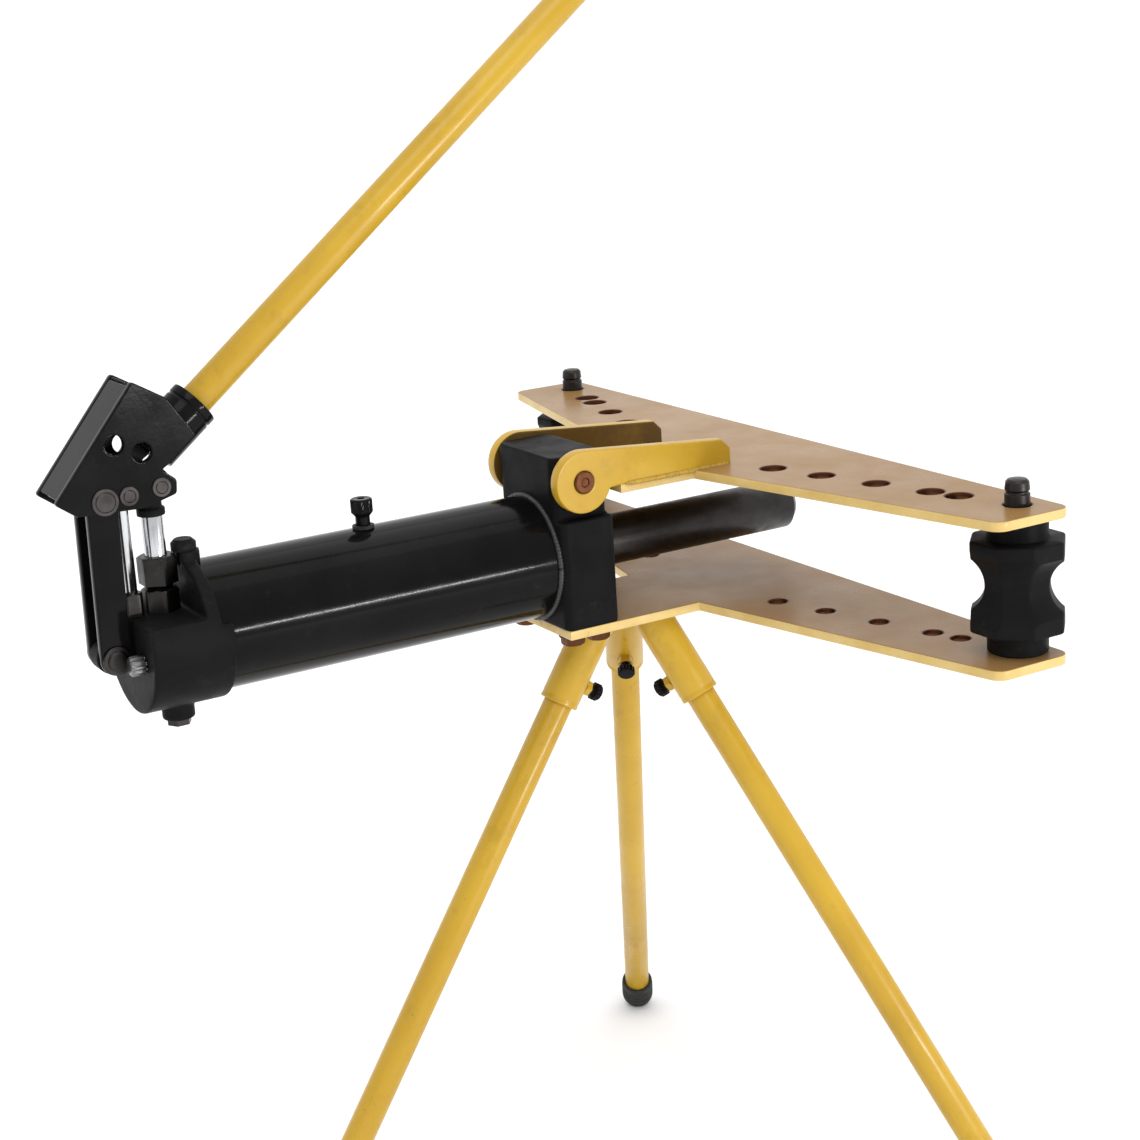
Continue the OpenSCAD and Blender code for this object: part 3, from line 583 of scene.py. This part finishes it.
def weld(name, path, radius, body, finish, closed=False):
    """A weld bead along the points: a round bead with ripples, thin at its ends if it is open."""
    points = [Vector(p) for p in path] + ([Vector(path[0])] if closed else [])
    spots, step = [], RIPPLE / 4
    for a, b in zip(points, points[1:]):
        count = max(1, round((b - a).length / step))
        spots += [a.lerp(b, k / count) for k in range(count)]
    if not closed:
        spots.append(points[-1])
    build, rings, count = bmesh.new(), [], len(spots)
    angles = [2 * math.pi * k / BEAD_SIDES for k in range(BEAD_SIDES)]
    for i, here in enumerate(spots):
        ahead = spots[(i + 1) % count] if closed or i + 1 < count else here
        behind = spots[i - 1] if closed or i else here
        turn = frame_along(here, ahead - behind)
        ripple = 0.86 + 0.16 * abs(math.sin(math.pi * i / 4)) + 0.10 * noise.noise(here * 260)
        if not closed:
            ripple *= min(1.0, 0.25 + 0.2 * min(i, count - 1 - i))
        rings.append([build.verts.new(turn @ Vector((radius * ripple * math.cos(a),
                                                     radius * ripple * math.sin(a), 0))) for a in angles])
    pairs = list(zip(rings, rings[1:])) + ([(rings[-1], rings[0])] if closed else [])
    for low, high in pairs:
        for k in range(BEAD_SIDES):
            j = (k + 1) % BEAD_SIDES
            build.faces.new([low[k], low[j], high[j], high[k]])
    if not closed:
        build.faces.new(rings[0])
        build.faces.new(rings[-1])
    return piece(name, mesh_of(build), finish, body, sharp=60)


def soften(node, voxel, rounds, finish, body):
    """The CAD solid as a casting: remeshed and smoothed, so that its edges are round."""
    copy = bpy.data.objects.new(node + "_soft", NODES[node].data.copy())
    bpy.context.scene.collection.objects.link(copy)
    remesh = copy.modifiers.new("remesh", "REMESH")
    remesh.mode, remesh.voxel_size = "VOXEL", voxel
    smooth = copy.modifiers.new("smooth", "SMOOTH")
    smooth.factor, smooth.iterations = 0.5, rounds
    thin = copy.modifiers.new("thin", "DECIMATE")
    thin.ratio = KEPT_FACES
    bpy.context.view_layer.update()
    evaluated = copy.evaluated_get(bpy.context.evaluated_depsgraph_get())
    mesh = bpy.data.meshes.new_from_object(evaluated)
    bpy.data.objects.remove(copy)
    return piece(node + "_casting", mesh, finish, body, (node,), sharp=180)


# ---------------------------------------------------------------- wing plates

PLATE_FRONT, NOTCH_X = 262, 122              # the front edge, and where the wings' rear edges meet the tongue
TIP_LEN, TIP_ROUND, PLATE_EDGE = 76, 12, 0.9
TONGUE_HALF, WING_HALF = 58, 370
UPPER_REAR, LOWER_REAR = 49, -8
UPPER_HOLE_R, LOWER_HOLE_R = 11, 8.05


def arc(x, y, radius, start, end, steps=8):
    angles = [math.radians(start + (end - start) * k / steps) for k in range(steps + 1)]
    return [(x + radius * math.cos(a), y + radius * math.sin(a)) for a in angles]


def wing_outline(rear):
    """Both wings and the tongue between them, which ends at rear."""
    sweep = math.degrees(math.atan((PLATE_FRONT - TIP_LEN - NOTCH_X) / (WING_HALF - TONGUE_HALF)))
    tip = arc(PLATE_FRONT - TIP_ROUND, WING_HALF - TIP_ROUND, TIP_ROUND, 0, 90)
    tip += arc(PLATE_FRONT - TIP_LEN + TIP_ROUND, WING_HALF - TIP_ROUND, TIP_ROUND, 90, 180 - sweep)
    half = tip + [(NOTCH_X, TONGUE_HALF), (rear, TONGUE_HALF)]
    both = half + [(x, -y) for x, y in reversed(half)]
    return [Vector((DATUM_X + x * MM, y * MM)) for x, y in both]


def wing_plate(node, body, rear, mount_word, hole_r):
    """A plate with the row of holes that its mounts give, and one hole at each roller."""
    low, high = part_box(node)
    holes = [m["pos_m"] for name, m in MOUNTS.items() if name.startswith(mount_word)]
    holes += [JOINTS[f"roller_{side}_turn"]["pos_m"] for side in SIDES]
    loops = [wing_outline(rear)] + [circle(p[0], p[1], hole_r * MM) for p in holes]
    mesh = slab(loops, high.z - low.z, PLATE_EDGE * MM, Matrix.Translation((0, 0, low.z)))
    piece(node + "_finished", mesh, PLATE, body, (node,), second=PIN_STEEL)


def make_plates():
    wing_plate("upper_wing_plate", "upper_wing", UPPER_REAR, "upper_hole", UPPER_HOLE_R)
    wing_plate("lower_wing_plate", "frame", LOWER_REAR, "spindle_hole", LOWER_HOLE_R)


# ---------------------------------------------------------------- hinge arms and pins

EYE_R, EYE_HOLE_R, EYE_FOOT = 26.5, 9.6, 340         # the eye's arc ends at EYE_FOOT degrees
ARM_REAR, ARM_FRONT, ARM_FOOT, ARM_TOP, ARM_CORNER, ARM_EDGE = 49, 160, 63, 85, 8, 1.2
ARM_WELDS, ARM_WELD_ENDS, ARM_WELD_R = (("outer", 59.5), ("inner", 48.5)), (53, 158), 2.2
HINGE_PIN_FROM, HINGE_PIN_R, HINGE_PIN_LENGTH = 26, 9.5, 35


def make_hinge():
    """The upper wing's two arms with their welds, and the pins they turn on."""
    lean = math.atan2(ARM_TOP - HINGE_Z - EYE_R, ARM_FRONT - HINGE_X)
    outline = [(ARM_REAR, ARM_FOOT), (ARM_FRONT, ARM_FOOT), (ARM_FRONT, ARM_TOP - ARM_CORNER),
               (ARM_FRONT - ARM_CORNER, ARM_TOP)]
    outline += arc(HINGE_X, HINGE_Z, EYE_R, 90 + math.degrees(lean), EYE_FOOT, 40)
    outline = [Vector((DATUM_X + x * MM, RAM_Z + z * MM)) for x, z in outline]
    hole = circle(HINGE.x, HINGE.z, EYE_HOLE_R * MM)
    for side, s in SIDES.items():
        node = f"hinge_arm_{side}"
        low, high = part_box(node)
        mesh = slab([outline, hole], high.y - low.y, ARM_EDGE * MM, flat_xz(low.y))
        piece(node + "_finished", mesh, ARM, "upper_wing", (node,))
        for word, y in ARM_WELDS:
            weld(f"arm_weld_{side}_{word}", [at(x, s * y, ARM_FOOT) for x in ARM_WELD_ENDS], ARM_WELD_R * MM,
                 "upper_wing", YELLOW_WELD)
    build = bmesh.new()
    reach = HINGE_PIN_LENGTH
    profile = mm([(0, 0), (HINGE_PIN_R, 0), (HINGE_PIN_R, reach - 1.2), (8.3, reach), (4.2, reach),
                  (3.4, reach - 1.2), (0, reach - 1.6)])
    for s in SIDES.values():
        lathe(build, profile, frame_along(Vector((HINGE.x, s * HINGE_PIN_FROM * MM, HINGE.z)), (0, s, 0)), 48)
    piece("hinge_pins_finished", mesh_of(build), PIN_STEEL, "frame", ("hinge_pins",))


# ---------------------------------------------------------------- rollers and spindles

GROOVES = (44.5, 38, 30.2, 24.2)             # radii of the grooves in four neighbouring sides
ROLLER_FLAT, GROOVE_DEPTH, ROLLER_HALF = 36, 11, 37
ROLLER_BLEND, ROLLER_STEPS, ROLLER_ROWS = 0.55, 240, 45
COLLAR_R, COLLAR_HALF, BORE_R, BORE_HALF = 24, 54.7, 10.05, 53.6
SPINDLE_R, SPINDLE_FOOT_R, SPINDLE_STEP = 10, 8, -55      # the foot ends in the lower plate, at the step


def roller_radius(angle, z):
    """Radius in millimetres: the nearest of eight grooved sides, with slightly rounded corners."""
    reach = []
    for k in range(8):
        cosine = math.cos(angle - k * math.pi / 4)
        if cosine > 0.5:
            groove = GROOVES[k % 4]
            depth = ROLLER_FLAT - GROOVE_DEPTH + groove - math.sqrt(max(groove * groove - z * z, 0))
            reach.append(min(ROLLER_FLAT, depth) / cosine)
    smallest = min(reach)
    return smallest - ROLLER_BLEND * math.log(sum(math.exp((smallest - r) / ROLLER_BLEND) for r in reach))


def make_roller(side, place):
    """A grooved eight-sided roller with a collar at each end, and its bore.

    The rows are (radius, height, how much less), and no radius stands for the grooved shape."""
    half = ROLLER_ROWS // 2
    rows = [(None, ROLLER_HALF * (k / half - 1), 0.0) for k in range(ROLLER_ROWS)]
    first, last = rows[0][1], rows[-1][1]
    rows[0], rows[-1] = (None, first, 1.4), (None, last, 1.4)
    rows.insert(1, (None, first + 0.9, 0.25))
    rows.insert(-1, (None, last - 0.9, 0.25))
    ends = [(COLLAR_R + 2.5, ROLLER_HALF), (COLLAR_R + 0.7, 37.6), (COLLAR_R, 39.5), (COLLAR_R, 53.6),
            (COLLAR_R - 1.1, COLLAR_HALF), (11.2, COLLAR_HALF), (BORE_R, BORE_HALF)]
    rows = [(r, -z, 0) for r, z in reversed(ends)] + rows + [(r, z, 0) for r, z in ends]
    rows.append((BORE_R, -BORE_HALF, 0))
    build, rings = bmesh.new(), []
    for radius, z, less in rows:
        ring = []
        for k in range(ROLLER_STEPS):
            angle = 2 * math.pi * k / ROLLER_STEPS
            r = radius if radius else roller_radius(angle, z) - less
            point = Vector((r * MM * math.cos(angle), r * MM * math.sin(angle), z * MM))
            ring.append(build.verts.new(place @ point))
        rings.append(ring)
    for a, b in zip(rings, rings[1:]):
        for k in range(ROLLER_STEPS):
            j = (k + 1) % ROLLER_STEPS
            build.faces.new([a[k], a[j], b[j], b[k]])
    name = f"roller_{side}"
    piece(name + "_finished", mesh_of(build), CAST, name, (name,), sharp=40)


def make_spindle(side, place):
    """A stepped pin with a groove under its rounded top."""
    name = f"spindle_{side}"
    low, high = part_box(name)
    foot, top, step = low.z, high.z, RAM_Z + SPINDLE_STEP * MM
    wide, thin = SPINDLE_R * MM, SPINDLE_FOOT_R * MM
    profile = [(0, foot), (6.6 * MM, foot), (thin, foot + 1.5 * MM), (thin, step), (wide, step),
               (wide, top - 12 * MM), (8.9 * MM, top - 11.4 * MM), (8.9 * MM, top - 9.6 * MM),
               (9.9 * MM, top - 9 * MM), (9.2 * MM, top - 2.4 * MM), (7.4 * MM, top - 0.5 * MM),
               (3 * MM, top), (0, top)]
    mesh = turned(profile, place, 0.5 * MM, 48)
    piece(name + "_finished", mesh, DARK_STEEL, name, (name,))


def make_rollers():
    for side in SIDES:
        pivot = JOINTS[f"roller_{side}_turn"]["pos_m"]
        make_roller(side, Matrix.Translation((pivot[0], pivot[1], RAM_Z)))
        make_spindle(side, Matrix.Translation((pivot[0], pivot[1], 0)))


# ---------------------------------------------------------------- lever, link and plungers

CHEEK = [(-22, -8), (31, -10), (57, -3), (58, 8), (47, 17), (54, 21), (77, 40), (57, 71), (31, 87), (-38, 4)]
CHEEK_FROM, CHEEK_T, CHEEK_EDGE, CHEEK_ROUND = (-25.5, 19.5), 6, 0.8, 2.5
LEVER_HOLES, LEVER_HOLE_R = ((12, 42), (33, 33)), 7.5
WEB_END, WEB_IN, WEB_HALF = 4, 0.5, 20.5     # the web's gap at each end, its set back, and half its width
SOCKET_MOUTH = (88, 60)
LEVER_PINS, LEVER_PIN_REACH = (((0, 0), 8), ((45, 4), 5), ((19, 1.5), 5)), 27.5
LINK_HALF, LINK_FROM, LINK_T, LINK_HOLE_R = 12, (-18, 10.5), 7.5, 8.1
LINK_PIN_R, LINK_PIN_REACH = 8, 22


def make_bracket():
    """Two cheeks, and the web that joins their rear edges."""
    outline = rounded([Vector(p) for p in CHEEK], CHEEK_ROUND, 3, True)
    outline = [Vector((FULCRUM.x + p.x * MM, FULCRUM.z + p.y * MM)) for p in outline]
    cuts = [circle(FULCRUM.x + x * MM, FULCRUM.z + z * MM, LEVER_HOLE_R * MM) for x, z in LEVER_HOLES]
    build = bmesh.new()
    for y in CHEEK_FROM:
        slab([outline] + cuts, CHEEK_T * MM, CHEEK_EDGE * MM, flat_xz(y * MM), build)
    head, foot = (Vector((x, 0, z)) for x, z in CHEEK[-2:])
    along = (head - foot).normalized()
    across = Vector((along.z, 0, -along.x))
    place = Matrix((along, (0, 1, 0), across)).transposed().to_4x4()
    place.translation = FULCRUM + (foot + along * WEB_END + across * WEB_IN) * MM
    reach = (head - foot).length - 2 * WEB_END
    web = [Vector(p) * MM for p in ((0, -WEB_HALF), (reach, -WEB_HALF), (reach, WEB_HALF), (0, WEB_HALF))]
    slab([rounded(web, 1 * MM, 2, True)], CHEEK_T * MM, CHEEK_EDGE * MM, place, build)
    piece("lever_bracket_finished", mesh_of(build), GLOSS, "lever", ("lever_bracket",))


def make_handle_socket():
    """A tube closed below, with a shallow groove near its mouth."""
    place = frame_along(FULCRUM + Vector((SOCKET_MOUTH[0], 0, SOCKET_MOUTH[1])) * MM, HANDLE_AXIS, (0, 1, 0))
    profile = mm([(0, -50), (20, -50), (20, -9), (19.3, -8.4), (19.3, -7), (20, -6.4), (20, 0), (13.2, 0),
                  (13.2, -30), (0, -30)])
    mesh = turned(profile, place, 1.2 * MM, 64)
    piece("handle_socket_finished", mesh, GLOSS, "lever", ("handle_socket",))


def make_lever_pins():
    """Chamfered pins, each with a flat ring near both ends."""
    build = bmesh.new()
    for (x, z), r in LEVER_PINS:
        profile = mm([(0, 0), (r, 0), (r, 26.8), (r - 0.8, LEVER_PIN_REACH), (0, LEVER_PIN_REACH)])
        ring = mm([(r + 2.6, 25.6), (r + 2.6, 26.5), (r + 2.2, 26.9), (r, 26.9)])
        for s in (-1, 1):
            place = frame_along(FULCRUM + Vector((x, 0, z)) * MM, (0, s, 0))
            lathe(build, profile, place, 40)
            lathe(build, ring, place, 40)
    nodes = ("fulcrum_pin", "plunger_pins")
    piece("lever_pins_finished", mesh_of(build), DARK_STEEL, "lever", nodes)


def make_link():
    """The two link plates between the lever's fulcrum and the casting, and the lower pin."""
    pivot = Vector(JOINTS["link_rock"]["pos_m"])
    rise = Vector((FULCRUM.x - pivot.x, FULCRUM.z - pivot.z))
    lean = math.degrees(math.atan2(rise.x, rise.y))
    outline = arc(FULCRUM.x / MM, FULCRUM.z / MM, LINK_HALF, -lean, 180 - lean, 20)
    outline += arc(pivot.x / MM, pivot.z / MM, LINK_HALF, 180 - lean, 360 - lean, 20)
    loop = [Vector(p) * MM for p in outline]
    cuts = [circle(p.x, p.z, LINK_HOLE_R * MM) for p in (FULCRUM, pivot)]
    build = bmesh.new()
    for y in LINK_FROM:
        slab([loop] + cuts, LINK_T * MM, 1 * MM, flat_xz(y * MM), build)
    piece("link_plates_finished", mesh_of(build), GLOSS, "link", ("link_plates",))
    build = bmesh.new()
    r, reach = LINK_PIN_R, LINK_PIN_REACH
    for s in (-1, 1):
        place = frame_along(pivot, (0, s, 0))
        lathe(build, mm([(0, 0), (r, 0), (r, reach - 1), (r - 1, reach), (0, reach)]), place, 40)
        lathe(build, mm([(11.4, 18.4), (11.4, 19.8), (10.9, 20.3), (r, 20.3)]), place, 40)
    piece("link_pin_finished", mesh_of(build), DARK_STEEL, "frame", ("link_pin",))


NUTS = {"main_gland_nut": (27, 42, 64, 8.6, 0),       # across the flats, foot and top over the ram's
        "main_pump_barrel": (26, 20, 38, 11, 0),      # axis, bore radius, and turn in degrees
        "small_gland_nut": (17, 20, 38, 6.1, 30)}
THREAD_FROM, THREAD_TURNS, THREAD_R, THREAD_BORE_R = 37.2, 5, 10.95, 8.6


def make_pump_nuts():
    """The two gland nuts and the pump barrel's hexagon, with a few turns of thread above that."""
    for node, (across, foot, top, bore, turn) in NUTS.items():
        build, middle = bmesh.new(), centre(node)
        low, high = RAM_Z + foot * MM, RAM_Z + top * MM
        place = Matrix.Translation((middle.x, middle.y, low)) @ Matrix.Rotation(math.radians(turn), 4, "Z")
        hexagon(build, across * MM, high - low, place, bore * MM)
        if node == "main_pump_barrel":
            profile = [(THREAD_BORE_R, THREAD_FROM - 0.7)]
            for k in range(THREAD_TURNS):
                profile += [(THREAD_R, THREAD_FROM + k), (10.2, THREAD_FROM + k + 0.5)]
            profile.append((THREAD_BORE_R, THREAD_FROM + THREAD_TURNS))
            lathe(build, mm(profile), Matrix.Translation((middle.x, middle.y, RAM_Z)), 48)
        mesh = mesh_of(build)
        piece(node + "_finished", mesh, DARK_STEEL, "frame", (node,), FLAT_FACES)


# ---------------------------------------------------------------- screws and bolts

FILLER_HEAD, FILLER_FLUTES, FILLER_FLUTE = 11, 36, 0.35       # the head's height, its flutes and their depth
KNOB, KNOB_R = 12, 8
THUMB_BACK, THUMB_LENGTH = 6.7, 21           # the tip's distance behind the joint's place, and the length
SOCKET_NUT = (13, 6, 4.1, 0.8, 3.4)          # across, height, bore, chamfer, and its distance up the screw
BOLT_X, BOLT_Y, BOLT_ACROSS, BOLT_HEIGHT, WASHER_T = (4, 29), (-40, 40), 18, 7.1, 1.9


def fluted(count, depth, low, high):
    """A radius that dips count times round, between two heights."""
    def shape(angle, radius, height):
        if low < height < high and radius > 4 * MM:
            return radius - depth * (0.5 + 0.5 * math.cos(angle * count)) ** 2
        return radius
    return shape


def make_filler_screw():
    """A finely ribbed head on a plain stem."""
    low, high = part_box("filler_screw")
    top, stem = high.z, high.z - FILLER_HEAD * MM
    profile = [(0, low.z), (6 * MM, low.z), (6 * MM, stem - 4 * MM), (9 * MM, stem - 0.4 * MM),
               (9 * MM, top - 1 * MM), (8 * MM, top), (3.2 * MM, top - 0.2 * MM), (2.6 * MM, top - 1.4 * MM),
               (0, top - 1.6 * MM)]

    def ribbed(angle, radius, height):
        if height > stem and radius > 8.4 * MM:
            return radius - FILLER_FLUTE * MM * (0.5 + 0.5 * math.cos(angle * FILLER_FLUTES))
        return radius

    build = bmesh.new()
    place = Matrix.Translation((centre("filler_screw").x, 0, 0))
    lathe(build, rounded(profile, 0.4 * MM), place, 144, ribbed)
    piece("filler_screw_finished", mesh_of(build), GLOSS, "filler_screw", ("filler_screw",))


def make_release_screw():
    """A fluted knob on a plain stem, lying along X."""
    low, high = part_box("release_screw")
    middle, end = (low + high) / 2, high.x - low.x
    knob, wide = KNOB * MM, KNOB_R * MM
    profile = [(0, 0), (6.4 * MM, 0), (wide, 1.5 * MM), (wide, knob - 1.2 * MM), (7 * MM, knob),
               (4 * MM, knob), (4 * MM, end), (0, end)]
    place = frame_along(Vector((low.x, middle.y, middle.z)), (1, 0, 0))
    mesh = turned(profile, place, 0.5 * MM, 120, fluted(10, 1.1 * MM, 0.8 * MM, knob - 0.6 * MM))
    piece("release_screw_finished", mesh, GROUND, "release_screw", ("release_screw",))


def make_thumb_screw(name):
    """The screw that clamps a leg, and the nut that is welded to the socket under it."""
    joint = JOINTS[f"thumb_screw_{name}_turn"]
    axis = Vector(joint["axis"]).normalized()
    start = Vector(joint["pos_m"]) - axis * THUMB_BACK * MM
    profile = mm([(0, 0), (4, 0), (4, 12.6), (6, 14), (8, 14.6), (8, 20), (6.8, THUMB_LENGTH),
                  (0, THUMB_LENGTH)])
    flutes = fluted(12, 0.9 * MM, 14.2 * MM, 20.6 * MM)
    mesh = turned(profile, frame_along(start, axis), 0.5 * MM, 120, flutes)
    body = f"thumb_screw_{name}"
    piece(body + "_finished", mesh, GLOSS, body, (body,))
    across, height, bore, chamfer, up = SOCKET_NUT
    build = bmesh.new()
    place = frame_along(start + axis * up * MM, axis)
    hexagon(build, across * MM, height * MM, place, bore * MM, chamfer * MM)
    piece(f"socket_nut_{name}", mesh_of(build), YELLOW, "frame", (), FLAT_FACES)


def make_plate_bolts():
    """Four hex bolts with washers under the lower plate."""
    build = bmesh.new()
    plate_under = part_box("lower_wing_plate")[0].z
    washer = mm([(6.2, 0), (11.5, 0), (12, 0.5), (12, 1.4), (11.4, WASHER_T), (6.2, WASHER_T)])
    for x in BOLT_X:
        for y in BOLT_Y:
            top = Vector((DATUM_X + x * MM, y * MM, plate_under))
            lathe(build, washer, frame_along(top, (0, 0, -1), (1, 0, 0)), 48)
            head = frame_along(top + Vector((0, 0, -WASHER_T * MM)), (0, 0, -1), (1, 0, 0))
            hexagon(build, BOLT_ACROSS * MM, BOLT_HEIGHT * MM, head, 0, 1.1 * MM)
    nodes = ("plate_bolts",)
    piece("plate_bolts_finished", mesh_of(build), PIN_STEEL, "frame", nodes, FLAT_FACES)


# ---------------------------------------------------------------- stand

STAND_X, STAND_R, STAND_Z = 80, 24, -63      # the sockets start on a circle in the lower plate's underside
SOCKET_LENGTH, SOCKET_R, SOCKET_BORE_R = 88, 17.05, 13.1
FOOT_BALL_Z, FOOT_R, FOOT_RIBS, FOOT_TOP, FOOT_BORE_R = 15, 17, 3, 26, 13.1
SOCKET_WELD_R, TUBE_WELD_R, TUBE_WELD_AT = 2.4, 2.6, 53.4


def leg_axis(name):
    return Vector(JOINTS[f"leg_{name}_slide"]["axis"]).normalized()


def leg_start(name):
    turn = math.radians(LEGS[name])
    return at(STAND_X + STAND_R * math.cos(turn), STAND_R * math.sin(turn), STAND_Z)


def make_feet():
    """Rubber feet: a ball cut off at the floor, under a ribbed sleeve."""
    r, bore, top = FOOT_R * MM, FOOT_BORE_R * MM, FOOT_TOP * MM
    profile = [(0, -r)]
    profile += [(r * math.sin(math.radians(a)), -r * math.cos(math.radians(a))) for a in range(12, 90, 13)]
    profile += [(r, 0)]
    for k in range(FOOT_RIBS):
        z = (5 + 5.5 * k) * MM
        profile += [(r, z), (16.1 * MM, z + 0.8 * MM), (16.1 * MM, z + 1.8 * MM), (r, z + 2.6 * MM)]
    profile += [(16.6 * MM, top - 2 * MM), (15.6 * MM, top), (bore, top), (bore, 4 * MM), (0, 4 * MM)]
    for name in LEGS:
        pad = Vector(MOUNTS[f"foot_{name}_pad"]["pos_m"])
        place = frame_along(Vector((pad.x, pad.y, FOOT_BALL_Z * MM)), -leg_axis(name))
        mesh = turned(profile, place, 0.5 * MM, 64, steps=2)
        for vertex in mesh.vertices:
            vertex.co.z = max(vertex.co.z, 0.0)
        piece(f"foot_{name}_finished", mesh, RUBBER, f"leg_{name}", (f"foot_{name}",))


def socket_ring(name, radius, drop):
    """Where a leg socket of that radius meets a level plane, drop below the plate."""
    down, start = leg_axis(name), leg_start(name)
    place = frame_along(start, down)
    ring = []
    for k in range(40):
        angle = 2 * math.pi * k / 40
        point = place @ Vector((radius * math.cos(angle), radius * math.sin(angle), 0))
        ring.append(point - down * ((point.z - start.z + drop) / down.z))
    return ring


def make_sockets():
    """Leg sockets: plain tube cut level under the plate, with a rolled rim at the mouth."""
    outer, bore, end = SOCKET_R, SOCKET_BORE_R, SOCKET_LENGTH
    profile = mm([(bore, -20), (outer, -20), (outer, end - 6), (outer - 0.25, end - 5.4),
                  (outer - 0.25, end - 4), (outer, end - 3.4), (outer, end - 0.6), (outer - 0.6, end),
                  (bore + 0.8, end), (bore, end - 0.8)])
    for name in LEGS:
        down, start = leg_axis(name), leg_start(name)
        build = bmesh.new()
        lathe(build, profile, frame_along(start, down), 64)
        for vertex in build.verts:
            if vertex.co.z > start.z:
                vertex.co -= down * ((vertex.co.z - start.z) / down.z)
        node = f"socket_{name}"
        piece(node + "_finished", mesh_of(build), TUBE_YELLOW, "frame", (node,))


def make_welds():
    """Beads round the leg sockets, and round the outer tube where it enters the head block."""
    for name in LEGS:
        weld(f"socket_weld_{name}", socket_ring(name, 17.6 * MM, 0.6 * MM), SOCKET_WELD_R * MM, "frame",
             TAN_WELD, True)
    x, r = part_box("reservoir_tube")[1].x - 1 * MM, TUBE_WELD_AT * MM
    angles = [2 * math.pi * k / 90 for k in range(90)]
    ring = [Vector((x, r * math.cos(a), RAM_Z + r * math.sin(a))) for a in angles]
    weld("tube_weld", ring, TUBE_WELD_R * MM, "frame", BLACK_WELD, True)


# ---------------------------------------------------------------- the whole scene

CASTINGS = (("head_block", 1.4, 5, "frame"), ("pump_body", 1.3, 4, "frame"),
            ("main_plunger_head", 0.8, 3, "main_plunger"))   # node, voxel size, rounds of smoothing, body

make_camera()
make_studio()
paint_cad()
make_plates()
make_hinge()
make_rollers()
make_bracket()
make_handle_socket()
make_lever_pins()
make_link()
make_pump_nuts()
make_filler_screw()
make_release_screw()
for leg in LEGS:
    make_thumb_screw(leg)
make_plate_bolts()
make_feet()
make_sockets()
make_welds()
for node, voxel, rounds, body in CASTINGS:
    soften(node, voxel * MM, rounds, CAST, body)
